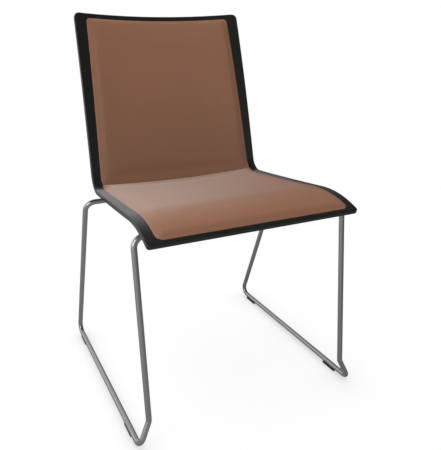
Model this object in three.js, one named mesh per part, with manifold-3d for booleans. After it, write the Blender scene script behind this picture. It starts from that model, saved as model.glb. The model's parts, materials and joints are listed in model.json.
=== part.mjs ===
// Sled base visitor chair: a moulded shell with two leather pads on a frame of bent steel rod.
// Lengths are in millimetres and angles in degrees. +X is the chair's left-right direction,
// +Y points to its back and +Z up.
import * as THREE from "three";
import { mergeVertices } from "three/addons/utils/BufferGeometryUtils.js";
import Module from "manifold-3d";

const wasm = await Module();
wasm.setup();

// Fits
const clearance = 0.3; // left between two rigid pieces that touch
const layerGap = 0.6; // left between the curved layers of a pad
const overrun = 2; // how far a cutting tool passes the face it opens

// Shell
const shellThickness = 13;
const shellFrontThickness = 12;
const shellEdgeRadius = 3;
const shellUndersideRadius = 4;
const shellCornerRadius = 13;
const seatFrontWidth = 462;
const creaseWidth = 441;
const backTopWidth = 421;
const seatFlatLength = 265;
const waterfallRadius = 233;
const lipLength = 9.2;
const creaseRadius = 33;
const backLength = 376;
const creaseDish = 14;
const backTopDish = 30;

// The shell's place on the frame, from the tops of the front legs and the plane of the rods below it
const seatTipReach = 62.8; // ahead of the legs
const seatTipLift = 0.4;
const lipSlope = 25.8; // rising to the rear
const seatFrontSlope = 2.8; // falling to the rear
const seatRearSlope = 1.3;
const backLean = 8.7; // from square, at the crease
const backTopLean = 14.2;

// Pads
const padHeight = 10.5;
const padSide = 2; // the upright side below the rolled edge
const padRollWidth = 17;
const padEndRollWidth = 8; // at the crease and the top of the back
const padRollFullness = 1.5; // 1 is a flat bevel and 2 is round
const padRollBevelShare = 0.4; // of the roll's drop, a flat bevel
const padFootRadius = 0.5;
const padCrown = 2.5;
const padFrontCornerRadius = 20;
const padTopCornerRadius = 9;
const padCreaseCornerRadius = 4;
const coverThickness = 1.3;
const boardThickness = 3.5;
const boardInset = 4;
const boardEdgeRadius = 1;
const boardCornerGrowth = 7; // added to the radius of the pad's corners
const backPadMargin = 28.5;
const creasePadMargin = 20.5;
const seatPadMargin = 20.5;
const seatFrontMargin = 9;
const backTopMargin = 12;

// Frame
const rodDiameter = 12;
const runnerSpacing = 520;
const runnerLength = 524;
const footBendRadius = 18;
const kinkHeight = 51;
const kinkSetback = 7;
const kinkBendRadius = 16;
const frontLegSpacing = 473;
const frontLegTopSetback = 42;
const frontTopHeight = 440.5;
const rearLegTopSpacing = 510;
const rearLegTopSetback = 331;
const rearTopHeight = 429;
const topBendRadius = 22;
const topStraight = 1; // between a front leg's bend inwards and its bend back under the seat

// Cross bars and the screws that hold the shell on them
const barWidth = 30;
const barThickness = 4;
const barCornerRadius = 6;
const barOverhang = 4;
const frontBarInset = 63; // behind the tops of the front legs
const rearBarInset = 51; // ahead of the tops of the rear legs
const weldRadius = 2.6;
const frameScrewSpacing = 330;
const frameScrewDiameter = 6;
const frameScrewLength = 20;
const frameScrewHeadDiameter = 12;
const frameScrewHeadHeight = 3.4;
const insertDiameter = 9;
const insertLength = 12;
const insertFlange = 1;
const bossDiameter = 22;
const bossTopDiameter = 28;
const bossRoot = 5; // how far a boss is sunk in the shell that it grows from

// Seat pad screws and their tee nuts
const padScrewSpacing = 220;
const padScrewFrontReach = 95; // along the seat from its front edge
const padScrewRearReach = 245;
const padScrewDiameter = 5;
const padScrewHeadDiameter = 10;
const padScrewHeadHeight = 3;
const padScrewRecess = 4;
const teeNutDiameter = 16;
const teeNutFlange = 1.2;
const teeNutWall = 0.9;
const teeNutProud = 1.5; // thread of the screw that stands past the tee nut

// Push-in clips of the back pad
const clipSpacing = 260;
const clipLowerReach = 90; // along the back from the crease bend
const clipUpperReach = 300;
const clipHeadDiameter = 14;
const clipHeadHeight = 1.5;
const clipStemDiameter = 5;
const clipRibDiameter = 7.4;
const clipDepth = 9;

// Glides
const soleHeight = 4.5; // from the floor to the underside of the runner
const glideLength = 45;
const glideWidth = 11;
const glideBevel = 1;
const glideNose = 4;
const glideWrap = 3.5; // how far a glide stands up beside the lower half of the rod
const glidePegDiameter = 4;
const glidePegHeight = 9; // from the floor to the top of the peg
const frontGlideInset = 70; // from the front end of the runner
const rearGlideInset = 58;

// Facets
const rodSides = 12;
const rodStepTurn = 11.25; // degrees between the rings of a rod's bend
const roundSides = 16;
const smallSides = 10;
const cornerSteps = 3;

const rodRadius = rodDiameter / 2;
const seatRunSpacing = frontLegSpacing - (topBendRadius * 2 + topStraight) * 2;
const frameFall = Math.atan2(frontTopHeight - rearTopHeight, rearLegTopSetback - frontLegTopSetback);
const runnerHeight = soleHeight + rodRadius;
const rad = THREE.MathUtils.degToRad;

// Colours and finishes
const finish = (color, roughness, metalness) =>
  new THREE.MeshStandardMaterial({ color, roughness, metalness });
const blackShell = () => finish(0x232221, 0.42, 0);
const brownLeather = () => finish(0x855c45, 0.5, 0);
const paleFoam = () => finish(0xd9c98f, 0.9, 0);
const plyBoard = () => finish(0xa98457, 0.7, 0);
const satinSteel = () => finish(0x9a9a9a, 0.32, 1);
const zincSteel = () => finish(0xb5b8bb, 0.4, 1);
const brass = () => finish(0xb08d45, 0.35, 1);
const blackNylon = () => finish(0x161616, 0.6, 0);
const whiteNylon = () => finish(0xe4e2dc, 0.6, 0);

// Solids
const solidOf = (geometry) => {
  const bare = new THREE.BufferGeometry();
  bare.setAttribute("position", geometry.getAttribute("position"));
  bare.setIndex(geometry.index);
  const merged = mergeVertices(bare);
  return new wasm.Manifold(
    new wasm.Mesh({
      numProp: 3,
      vertProperties: merged.attributes.position.array,
      triVerts: new Uint32Array(merged.index.array),
    }),
  );
};

const geometryOf = (solid) => {
  const { vertProperties, triVerts } = solid.getMesh();
  const geometry = new THREE.BufferGeometry();
  geometry.setAttribute("position", new THREE.BufferAttribute(vertProperties, 3));
  geometry.setIndex(new THREE.BufferAttribute(triVerts, 1));
  const flat = geometry.toNonIndexed();
  flat.computeVertexNormals();
  return flat;
};

const cut = (geometry, tools) => {
  const result = tools.reduce((solid, tool) => solid.subtract(solidOf(tool)), solidOf(geometry));
  return geometryOf(result);
};

const join = (geometry, pieces) => {
  const result = pieces.reduce((solid, piece) => solid.add(solidOf(piece)), solidOf(geometry));
  return geometryOf(result);
};

const node = (name, geometry, material) => {
  const mesh = new THREE.Mesh(geometry, material);
  mesh.name = name;
  return mesh;
};

// An upright cylinder or cone whose foot is at the given height.
const column = (bottomRadius, topRadius, foot, height, sides = smallSides) => {
  const geometry = new THREE.CylinderGeometry(topRadius, bottomRadius, height, sides);
  return geometry.rotateX(rad(90)).translate(0, 0, foot + height / 2);
};

// A turned piece standing on +Z, from [radius, height] pairs that start and end on the axis.
const turned = (pairs) => {
  const outline = pairs.map(([radius, height]) => new THREE.Vector2(radius, height));
  return new THREE.LatheGeometry(outline, smallSides).rotateX(rad(90));
};

// The shell's side line, walked from the front edge of the seat to the top of the back. Each stretch
// bends by its turn, and has so many sections.
const waterfallTurn = lipSlope + seatFrontSlope;
const creaseTurn = 90 - backLean + seatRearSlope;
const sideLine = [
  { length: lipLength, turn: 0, sections: 1 },
  { length: waterfallRadius * rad(waterfallTurn), turn: -waterfallTurn, sections: 4 },
  { length: seatFlatLength, turn: seatFrontSlope - seatRearSlope, sections: 4 },
  { length: creaseRadius * rad(creaseTurn), turn: creaseTurn, sections: 9 },
  { length: backLength, turn: backLean - backTopLean, sections: 3 },
];
const reachOf = (count) => sideLine.slice(0, count).reduce((sum, part) => sum + part.length, 0);
const waterfallEnd = reachOf(2);
const creaseStart = reachOf(3);
const creaseEnd = reachOf(4);
const creaseMiddle = (creaseStart + creaseEnd) / 2;
const sideLineLength = reachOf(sideLine.length);

const seatTip = {
  y: frontLegTopSetback - seatTipReach * Math.cos(frameFall) + seatTipLift * Math.sin(frameFall),
  z: frontTopHeight + seatTipReach * Math.sin(frameFall) + seatTipLift * Math.cos(frameFall),
};

const sidePoint = (reach) => {
  let { y, z } = seatTip;
  let heading = rad(lipSlope) - frameFall;
  let left = reach;
  for (const { length, turn } of sideLine) {
    const run = Math.min(left, length);
    const bend = rad((turn * run) / length);
    const half = bend / 2;
    const chord = half === 0 ? run : (run * Math.sin(half)) / half;
    y += chord * Math.cos(heading + half);
    z += chord * Math.sin(heading + half);
    heading += bend;
    left -= run;
    if (left <= 0) break;
  }
  return { y, z, heading };
};

const blend = (from, to, share) => from + (to - from) * THREE.MathUtils.clamp(share, 0, 1);
const seatShare = (reach) => reach / creaseMiddle;
const backShare = (reach) => (reach - creaseMiddle) / (sideLineLength - creaseMiddle);
const onSeat = (reach) => reach < creaseMiddle;

const shellHalfWidth = (reach) => {
  if (onSeat(reach)) return blend(seatFrontWidth, creaseWidth, seatShare(reach)) / 2;
  return blend(creaseWidth, backTopWidth, backShare(reach)) / 2;
};

const shellUnderside = (reach) => -blend(shellFrontThickness, shellThickness, reach / waterfallEnd);

const padHalfWidth = (reach) => {
  const seatMargin = blend(seatPadMargin, creasePadMargin, seatShare(reach));
  const backMargin = blend(creasePadMargin, backPadMargin, backShare(reach));
  return shellHalfWidth(reach) - (onSeat(reach) ? seatMargin : backMargin);
};

const dishDepth = (reach) => {
  if (!onSeat(reach)) return blend(creaseDish, backTopDish, backShare(reach));
  return creaseDish * Math.sin(rad(90) * seatShare(reach)) ** 2;
};

// A point of the shell's face, a distance across from the middle and a lift above the face.
const facePoint = (reach, across, lift) => {
  const { y, z, heading } = sidePoint(reach);
  const rise = lift - dishDepth(reach) * (1 - (across / shellHalfWidth(reach)) ** 2);
  return new THREE.Vector3(across, y - rise * Math.sin(heading), z + rise * Math.cos(heading));
};

// The frame of a fastener that stands square on the shell's face: +Z is the face's normal.
const faceFrame = (reach, across) => {
  const origin = facePoint(reach, across, 0);
  const along = facePoint(reach + clearance, across, 0).sub(origin).normalize();
  const sideways = facePoint(reach, across + clearance, 0).sub(origin).normalize();
  const normal = new THREE.Vector3().crossVectors(sideways, along).normalize();
  const upward = new THREE.Vector3().crossVectors(normal, sideways);
  return new THREE.Matrix4().makeBasis(sideways, upward, normal).setPosition(origin);
};

const quarterShare = (i, count) => 1 - Math.cos((rad(90) * i) / count);
const quarter = (count) => Array.from({ length: count + 1 }, (_, i) => quarterShare(i, count));

// Every layer has its sections' inner points on the same lines, so that layers lie on one another
// without crossing between their points. The lines lie within the narrowest part of the pads.
const padColumns = 3;
const padEndHalfWidths = [
  seatFrontWidth / 2 - seatPadMargin - padFrontCornerRadius,
  creaseWidth / 2 - creasePadMargin - padCreaseCornerRadius,
  backTopWidth / 2 - backPadMargin - padTopCornerRadius,
];
const columnPitch = (Math.min(...padEndHalfWidths) - padRollWidth) / padColumns;
const columnCount = padColumns * 2 + 1;
const columnLines = Array.from({ length: columnCount }, (_, i) => (i - padColumns) * columnPitch);

// Places along the side line where a slab gets a section: close together at its ends and in the bends.
const slabStations = ({ from, to, fromZone, toZone, endSteps }) => {
  const shares = quarter(endSteps);
  const inner = [];
  let start = 0;
  for (const { length, sections } of sideLine) {
    for (let i = 0; i < sections; i += 1) inner.push(start + (length * i) / sections);
    start += length;
  }
  const margin = 1 + 1 / endSteps / 2;
  const body = inner.filter((reach) => reach > from + fromZone * margin && reach < to - toZone * margin);
  const first = shares.map((share) => from + share * fromZone);
  return [...first, ...body, ...shares.map((share) => to - share * toZone).reverse()];
};

// How far a rolled edge has dropped, at given distances from a slab's end and side.
const rollDrop = ({ width, drop, fullness, bevel }, endWidth, end, side) => {
  const share = THREE.MathUtils.clamp(1 - Math.min(end / endWidth, side / width), 0, 1);
  const round = 1 - (1 - share ** fullness) ** (1 / fullness);
  return drop * THREE.MathUtils.lerp(round, share, bevel);
};

// A closed slab that follows the shell's face between two lifts, with rounded plan corners. Its upper
// and lower edges roll in, and its upper face may be crowned.
const slab = (shape) => {
  const { from, to, halfWidth, low, high, fromCorner, toCorner } = shape;
  const { upper, lower, endSteps, edgeSteps, crown } = shape;
  const fromZone = Math.max(fromCorner, upper.fromWidth);
  const toZone = Math.max(toCorner, upper.toWidth);
  const stations = slabStations({ from, to, fromZone, toZone, endSteps });
  const positions = [];
  for (const reach of stations) {
    const nearFrom = reach - from < to - reach;
    const end = nearFrom ? reach - from : to - reach;
    const corner = nearFrom ? fromCorner : toCorner;
    const zone = nearFrom ? fromZone : toZone;
    const half = halfWidth(reach) - corner + Math.sqrt(corner ** 2 - Math.max(0, corner - end) ** 2);
    const dropOf = (roll, x) =>
      rollDrop(roll, nearFrom ? roll.fromWidth : roll.toWidth, end, half - Math.abs(x));
    const edge = quarter(edgeSteps).map((share) => share * upper.width - half);
    const outermost = edge[edgeSteps];
    const between = (outermost - columnPitch * padColumns) / 2;
    const flank = [...edge, between];
    const offsets = [...flank, ...columnLines, ...flank.map((x) => -x).reverse()];
    const swell = (x) => crown * (1 - (x / half) ** 2) * Math.min(1, end / zone);
    for (const x of offsets) positions.push(facePoint(reach, x, high + swell(x) - dropOf(upper, x)));
    for (const x of offsets.reverse()) positions.push(facePoint(reach, x, low(reach) + dropOf(lower, x)));
  }
  const ring = positions.length / stations.length;
  const index = [];
  for (let i = 0; i + 1 < stations.length; i += 1) {
    for (let j = 0; j < ring; j += 1) {
      const a = i * ring + j;
      const b = i * ring + ((j + 1) % ring);
      // Each pair of triangles is split along the same diagonal above and below.
      if (j < ring / 2) index.push(a, b, b + ring, a, b + ring, a + ring);
      else index.push(a, b, a + ring, b, b + ring, a + ring);
    }
  }
  const last = (stations.length - 1) * ring;
  for (let j = 0; j + 1 < ring / 2; j += 1) {
    const k = ring - 1 - j;
    index.push(j, k, j + 1, j + 1, k, k - 1);
    index.push(last + j, last + j + 1, last + k, last + j + 1, last + k - 1, last + k);
  }
  const geometry = new THREE.BufferGeometry().setFromPoints(positions);
  return geometry.setIndex(index);
};

// A quarter-round edge.
const roundEdge = (radius) => ({
  width: radius,
  fromWidth: radius,
  toWidth: radius,
  drop: radius,
  fullness: 2,
  bevel: 0,
});

// Frame rods
const vector = (x, y, z) => new THREE.Vector3(x, y, z);

// A rod's centreline: straight runs between corners that are bent to a radius.
class BentRod extends THREE.Curve {
  constructor(corners) {
    super();
    this.points = [];
    this.tangents = [];
    corners.forEach(({ at, radius }, i) => {
      const before = corners[i - 1];
      const after = corners[i + 1];
      if (!before || !after) {
        const heading = before ? at.clone().sub(before.at) : after.at.clone().sub(at);
        this.addStation(at, heading.normalize());
        return;
      }
      this.addBend(at, at.clone().sub(before.at).normalize(), after.at.clone().sub(at).normalize(), radius);
    });
  }

  addStation(point, tangent) {
    this.points.push(point);
    this.tangents.push(tangent);
  }

  addBend(corner, arriving, leaving, radius) {
    const turn = arriving.angleTo(leaving);
    const start = corner.clone().addScaledVector(arriving, -radius * Math.tan(turn / 2));
    const inward = leaving.clone().addScaledVector(arriving, -arriving.dot(leaving)).normalize();
    const steps = Math.max(2, Math.round(turn / rad(rodStepTurn)));
    for (let i = 0; i <= steps; i += 1) {
      const angle = (turn * i) / steps;
      const point = start.clone().addScaledVector(arriving, radius * Math.sin(angle));
      point.addScaledVector(inward, radius * (1 - Math.cos(angle)));
      const tangent = arriving.clone().multiplyScalar(Math.cos(angle));
      this.addStation(point, tangent.addScaledVector(inward, Math.sin(angle)));
    }
  }

  getPoint(share, target = new THREE.Vector3()) {
    return target.copy(this.points[Math.round(share * (this.points.length - 1))]);
  }

  getPointAt(share, target) {
    return this.getPoint(share, target);
  }

  getTangentAt(share, target = new THREE.Vector3()) {
    return target.copy(this.tangents[Math.round(share * (this.points.length - 1))]);
  }
}

const circle = (radius, sides) => {
  const corners = Array.from({ length: sides }, (_, i) => {
    const angle = (rad(360) * i) / sides;
    return new THREE.Vector2(radius * Math.cos(angle), radius * Math.sin(angle));
  });
  return new THREE.Shape(corners);
};

const rodAlong = (corners, radius) => {
  const path = new BentRod(corners);
  const steps = path.points.length - 1;
  const section = circle(radius, rodSides);
  return new THREE.ExtrudeGeometry(section, { steps, bevelEnabled: false, extrudePath: path });
};

// The rod of one side starts at a butt joint under the seat, and comes back to it from behind.
const sideCorners = (side) => {
  const runX = (side * seatRunSpacing) / 2;
  const frontLegX = (side * frontLegSpacing) / 2;
  const rearLegX = (side * rearLegTopSpacing) / 2;
  const runnerX = (side * runnerSpacing) / 2;
  const front = vector(runX, frontLegTopSetback, frontTopHeight);
  const rear = vector(runX, rearLegTopSetback, rearTopHeight);
  const middle = front.clone().add(rear).multiplyScalar(0.5);
  const gap = rear.clone().sub(front).setLength(clearance / 2);
  return [
    { at: middle.clone().sub(gap) },
    { at: front, radius: topBendRadius },
    { at: vector(frontLegX, frontLegTopSetback, frontTopHeight), radius: topBendRadius },
    { at: vector(frontLegX, kinkSetback, runnerHeight + kinkHeight), radius: kinkBendRadius },
    { at: vector(runnerX, 0, runnerHeight), radius: footBendRadius },
    { at: vector(runnerX, runnerLength, runnerHeight), radius: footBendRadius },
    { at: vector(rearLegX, rearLegTopSetback, rearTopHeight), radius: topBendRadius },
    { at: rear, radius: topBendRadius },
    { at: middle.clone().add(gap) },
  ];
};

const glideSetbacks = [frontGlideInset, runnerLength - rearGlideInset];

const sideRod = (side) => {
  const pegHoles = glideSetbacks.map((setback) => {
    const radius = glidePegDiameter / 2 + clearance;
    const depth = glidePegHeight + clearance - soleHeight;
    const hole = column(radius, radius, soleHeight - overrun, depth + overrun);
    return hole.translate((side * runnerSpacing) / 2, setback, 0);
  });
  return cut(rodAlong(sideCorners(side), rodRadius), pegHoles);
};

// Glides
const glide = () => {
  const half = glideLength / 2;
  const profile = new THREE.Shape([
    new THREE.Vector2(-half + glideNose, glideBevel),
    new THREE.Vector2(half - glideNose, glideBevel),
    new THREE.Vector2(half - glideBevel, glideNose),
    new THREE.Vector2(half - glideBevel, soleHeight + glideWrap),
    new THREE.Vector2(-half + glideBevel, soleHeight + glideWrap),
    new THREE.Vector2(-half + glideBevel, glideNose),
  ]);
  const body = new THREE.ExtrudeGeometry(profile, {
    depth: glideWidth - glideBevel * 2,
    bevelThickness: glideBevel,
    bevelSize: glideBevel,
    bevelSegments: 1,
  });
  body.rotateX(rad(90)).rotateZ(rad(90)).translate(-glideWidth / 2 + glideBevel, 0, 0);
  const radius = rodRadius + clearance;
  const rod = column(radius, radius, -glideLength, glideLength * 2, roundSides);
  rod.rotateX(rad(90)).translate(0, 0, runnerHeight);
  const foot = soleHeight / 2;
  const peg = column(glidePegDiameter / 2, glidePegDiameter / 2, foot, glidePegHeight - foot);
  return join(cut(body, [rod]), [peg]);
};

// The plane of the two under-seat runs, at a cross bar: the origin is between the rods' centrelines.
const barFrame = (setback) => {
  const height = frontTopHeight - (setback - frontLegTopSetback) * Math.tan(frameFall);
  return new THREE.Matrix4().makeRotationX(-frameFall).setPosition(0, setback, height);
};
const barTop = -rodRadius - clearance;
const barBottom = barTop - barThickness;
const barSetbacks = [frontLegTopSetback + frontBarInset, rearLegTopSetback - rearBarInset];
const bothSides = [-1, 1];

const frameScrewPlace = (setback, side) => {
  const across = new THREE.Matrix4().makeTranslation((side * frameScrewSpacing) / 2, 0, 0);
  return barFrame(setback).multiply(across);
};

const crossBar = () => {
  const cornerX = (seatRunSpacing + rodDiameter) / 2 + barOverhang - barCornerRadius;
  const cornerY = barWidth / 2 - barCornerRadius;
  const outline = new THREE.Shape();
  outline.absarc(cornerX, -cornerY, barCornerRadius, rad(-90), 0);
  outline.absarc(cornerX, cornerY, barCornerRadius, 0, rad(90));
  outline.absarc(-cornerX, cornerY, barCornerRadius, rad(90), rad(180));
  outline.absarc(-cornerX, -cornerY, barCornerRadius, rad(180), rad(270));
  const flat = new THREE.ExtrudeGeometry(outline, {
    depth: barThickness,
    bevelEnabled: false,
    curveSegments: cornerSteps,
  });
  flat.translate(0, 0, barBottom);
  const beads = [];
  const rods = [];
  const holes = [];
  for (const side of bothSides) {
    const runX = (side * seatRunSpacing) / 2;
    for (const flank of bothSides) {
      const bead = column(weldRadius, weldRadius, -barWidth / 3, (barWidth * 2) / 3).rotateX(rad(90));
      beads.push(bead.translate(runX + flank * (rodRadius - clearance), 0, barTop + clearance));
    }
    const rod = column(rodRadius + clearance, rodRadius + clearance, -barWidth, barWidth * 2, roundSides);
    rods.push(rod.rotateX(rad(90)).translate(runX, 0, 0));
    const bore = frameScrewDiameter / 2 + clearance;
    const hole = column(bore, bore, barBottom - overrun, barThickness + overrun * 2);
    holes.push(hole.translate((side * frameScrewSpacing) / 2, 0, 0));
  }
  return cut(join(flat, beads), [...rods, ...holes]);
};

const screw = (diameter, length, headDiameter, headHeight) => {
  const shank = diameter / 2;
  const head = headDiameter / 2;
  const blank = turned([
    [0, -headHeight],
    [head / 2, -headHeight],
    [head, -headHeight / 3],
    [head, 0],
    [shank, 0],
    [shank, length - shank / 3],
    [shank * (2 / 3), length],
    [0, length],
  ]);
  const socket = new THREE.CylinderGeometry(head / 3, head / 3, headHeight, 6).rotateX(rad(90));
  return cut(blank, [socket.translate(0, 0, -headHeight)]);
};

const frameScrewSeat = barBottom - clearance;
const frameScrew = () => {
  const fastener = screw(frameScrewDiameter, frameScrewLength, frameScrewHeadDiameter, frameScrewHeadHeight);
  return fastener.translate(0, 0, frameScrewSeat);
};

const insertFoot = barTop + clearance;
const brassInsert = () => {
  const bore = frameScrewDiameter / 2 + clearance;
  const radius = insertDiameter / 2;
  const groove = radius - insertFlange / 2;
  const top = insertFoot + insertLength;
  const middle = insertFoot + insertLength / 2;
  return turned([
    [bore, insertFoot],
    [radius + insertFlange, insertFoot],
    [radius + insertFlange, insertFoot + insertFlange],
    [radius, insertFoot + insertFlange * 2],
    [radius, middle - insertFlange],
    [groove, middle],
    [radius, middle + insertFlange],
    [radius, top - insertFlange],
    [groove, top],
    [bore, top],
    [bore, insertFoot],
  ]);
};

const bossTools = (setback, side) => {
  const place = frameScrewPlace(setback, side);
  const centre = vector(0, 0, 0).applyMatrix4(place);
  const underside = undersideAbove(centre);
  const height = underside - centre.z - insertFoot + bossRoot;
  const boss = column(bossDiameter / 2, bossTopDiameter / 2, insertFoot, height, roundSides);
  const foot = insertFoot - overrun;
  const radius = insertDiameter / 2 + clearance;
  const flangeRadius = radius + insertFlange;
  const tipRadius = frameScrewDiameter / 2 + clearance;
  const holes = [
    column(radius, radius, foot, insertLength + clearance + overrun),
    column(flangeRadius, flangeRadius, foot, insertFlange * 2 + clearance + overrun),
    column(tipRadius, tipRadius, foot, frameScrewSeat + frameScrewLength + clearance - foot),
  ];
  return { boss: boss.applyMatrix4(place), holes: holes.map((tool) => tool.applyMatrix4(place)) };
};

// The height of the shell's underside above a point below the seat.
const undersideAbove = ({ x, y }) => {
  let near = 0;
  let far = creaseStart;
  while (far - near > clearance) {
    const middle = (near + far) / 2;
    if (facePoint(middle, x, shellUnderside(middle)).y < y) near = middle;
    else far = middle;
  }
  return facePoint(near, x, shellUnderside(near)).z;
};

// Places of the pads' fasteners on the shell's face.
const padScrewPlaces = [padScrewFrontReach, padScrewRearReach].flatMap((reach) =>
  bothSides.map((side) => faceFrame(reach, (side * padScrewSpacing) / 2)),
);
const clipPlaces = [clipLowerReach, clipUpperReach].flatMap((reach) =>
  bothSides.map((side) => faceFrame(creaseEnd + reach, (side * clipSpacing) / 2)),
);
const placed = (geometry, places) => places.map((place) => geometry.clone().applyMatrix4(place));

// Lifts of the layers above the shell's face
const boardLow = layerGap;
const boardHigh = boardLow + boardThickness;
const foamLow = boardHigh + layerGap;

// Shell
const shellSlab = () =>
  slab({
    from: 0,
    to: sideLineLength,
    halfWidth: shellHalfWidth,
    low: shellUnderside,
    high: 0,
    fromCorner: shellCornerRadius,
    toCorner: shellCornerRadius,
    upper: roundEdge(shellEdgeRadius),
    lower: roundEdge(shellUndersideRadius),
    endSteps: 4,
    edgeSteps: 2,
    crown: 0,
  });

const shell = () => {
  const bosses = barSetbacks.flatMap((setback) => bothSides.map((side) => bossTools(setback, side)));
  const padHole = padScrewDiameter / 2 + clearance;
  const padRecess = padScrewHeadDiameter / 2 + clearance;
  const through = column(padHole, padHole, -shellThickness - overrun, shellThickness + overrun * 2);
  const recess = column(padRecess, padRecess, -shellThickness - overrun, padScrewRecess + overrun);
  const clipBore = clipRibDiameter / 2 + clearance;
  const blind = column(clipBore, clipBore, -clipDepth - clearance, clipDepth + clearance + overrun);
  // The rods lie in shallow grooves of the underside, which keep the shell from sliding on them.
  const grooves = bothSides.map((side) => rodAlong(sideCorners(side), rodRadius + clearance));
  return cut(join(shellSlab(), bosses.map(({ boss }) => boss)), [
    ...grooves,
    ...bosses.flatMap(({ holes }) => holes),
    ...placed(through, padScrewPlaces),
    ...placed(recess, padScrewPlaces),
    ...placed(blind, clipPlaces),
  ]);
};

// Pads
const seatSpan = {
  from: seatFrontMargin,
  to: creaseMiddle - layerGap / 2,
  fromCorner: padFrontCornerRadius,
  toCorner: padCreaseCornerRadius,
  fromRoll: padRollWidth,
  toRoll: padEndRollWidth,
};
const backSpan = {
  from: creaseMiddle + layerGap / 2,
  to: sideLineLength - backTopMargin,
  fromCorner: padCreaseCornerRadius,
  toCorner: padTopCornerRadius,
  fromRoll: padEndRollWidth,
  toRoll: padEndRollWidth,
};

const padLayer = ({ span, inset, corners, low, high, upper, edgeSteps, crown }) =>
  slab({
    from: span.from + inset,
    to: span.to - inset,
    halfWidth: (reach) => padHalfWidth(reach) - inset,
    low: () => low,
    high,
    fromCorner: corners.from,
    toCorner: corners.to,
    upper,
    lower: roundEdge(padFootRadius),
    endSteps: 4,
    edgeSteps,
    crown,
  });

// A layer with the pad's crown and rolled edge, drawn in from the pad's outside on every side.
const rolledLayer = (span, inset, low, edgeSteps) => {
  const high = padHeight - inset;
  const corners = { from: span.fromCorner - inset, to: span.toCorner - inset };
  const upper = {
    width: padRollWidth - inset,
    fromWidth: span.fromRoll - inset,
    toWidth: span.toRoll - inset,
    drop: high - padSide,
    fullness: padRollFullness,
    bevel: padRollBevelShare,
  };
  return padLayer({ span, inset, corners, low, high, upper, edgeSteps, crown: padCrown });
};

const cover = (span) => {
  const inside = rolledLayer(span, coverThickness, layerGap - overrun, 2);
  return cut(rolledLayer(span, 0, layerGap, 3), [inside]);
};

const foam = (span, headDiameter, headHeight, places) => {
  const below = padLayer({
    span,
    inset: -overrun,
    corners: { from: span.fromCorner, to: span.toCorner },
    low: boardLow - overrun,
    high: foamLow,
    upper: roundEdge(padFootRadius),
    edgeSteps: 1,
    crown: 0,
  });
  const radius = headDiameter / 2 + clearance;
  const pocket = column(radius, radius, foamLow - overrun, overrun + headHeight + clearance);
  const block = rolledLayer(span, coverThickness + layerGap, boardLow, 2);
  return cut(block, [below, ...placed(pocket, places)]);
};

const board = (span, holeDiameter, places) => {
  const sheet = padLayer({
    span,
    inset: boardInset,
    corners: { from: span.fromCorner + boardCornerGrowth, to: span.toCorner + boardCornerGrowth },
    low: boardLow,
    high: boardHigh,
    upper: roundEdge(boardEdgeRadius),
    edgeSteps: 1,
    crown: 0,
  });
  const radius = holeDiameter / 2 + clearance;
  const hole = column(radius, radius, boardLow - overrun, boardThickness + overrun * 2);
  return cut(sheet, placed(hole, places));
};

const padScrewSeat = padScrewRecess - shellThickness - clearance;
const teeNutHeight = teeNutFlange + teeNutProud; // of the flange and the screw's tip above the board
const padScrewLength = boardHigh + layerGap + teeNutHeight - padScrewSeat;
const padScrew = () => {
  const fastener = screw(padScrewDiameter, padScrewLength, padScrewHeadDiameter, padScrewHeadHeight);
  return fastener.translate(0, 0, padScrewSeat);
};

const teeNutBarrel = padScrewDiameter + (clearance + teeNutWall) * 2;
const teeNut = () => {
  const bore = padScrewDiameter / 2 + clearance;
  const flange = boardHigh + layerGap;
  return turned([
    [bore, boardLow],
    [teeNutBarrel / 2, boardLow],
    [teeNutBarrel / 2, flange],
    [teeNutDiameter / 2, flange],
    [teeNutDiameter / 2, flange + teeNutFlange],
    [bore, flange + teeNutFlange],
    [bore, boardLow],
  ]);
};

// A stem with ribs that spring into the blind hole, under a flat head on the foam side of the board.
const clip = () => {
  const stem = clipStemDiameter / 2;
  const rib = clipRibDiameter / 2;
  const head = boardHigh + layerGap;
  const ribCount = 3;
  const pitch = clipDepth / (ribCount + 1);
  const outline = [
    [0, -clipDepth],
    [stem / 2, -clipDepth],
  ];
  for (let i = ribCount; i > 0; i -= 1) {
    outline.push([rib, -i * pitch], [stem, -i * pitch]);
  }
  outline.push([stem, head], [clipHeadDiameter / 2, head], [clipHeadDiameter / 2, head + clipHeadHeight]);
  outline.push([0, head + clipHeadHeight]);
  return turned(outline);
};

// Assembly
const sideName = (side) => (side < 0 ? "left" : "right");
const endNames = ["front", "rear"];

const chair = new THREE.Group();
const parts = new THREE.Group();
chair.add(parts);

const placeAt = (matrix, mesh) => {
  const seat = new THREE.Group();
  matrix.decompose(seat.position, seat.quaternion, seat.scale);
  seat.add(mesh);
  parts.add(seat);
};

parts.add(node("shell", shell(), blackShell()));
parts.add(node("seat_cover", cover(seatSpan), brownLeather()));
parts.add(node("seat_foam", foam(seatSpan, teeNutDiameter, teeNutHeight, padScrewPlaces), paleFoam()));
parts.add(node("seat_board", board(seatSpan, teeNutBarrel, padScrewPlaces), plyBoard()));
parts.add(node("back_cover", cover(backSpan), brownLeather()));
parts.add(node("back_foam", foam(backSpan, clipHeadDiameter, clipHeadHeight, clipPlaces), paleFoam()));
parts.add(node("back_board", board(backSpan, clipStemDiameter, clipPlaces), plyBoard()));

for (const side of bothSides) {
  parts.add(node(`${sideName(side)}_side_rod`, sideRod(side), satinSteel()));
  glideSetbacks.forEach((setback, i) => {
    const foot = node(`${endNames[i]}_${sideName(side)}_glide`, glide(), blackNylon());
    foot.position.set((side * runnerSpacing) / 2, setback, 0);
    parts.add(foot);
  });
}

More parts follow.
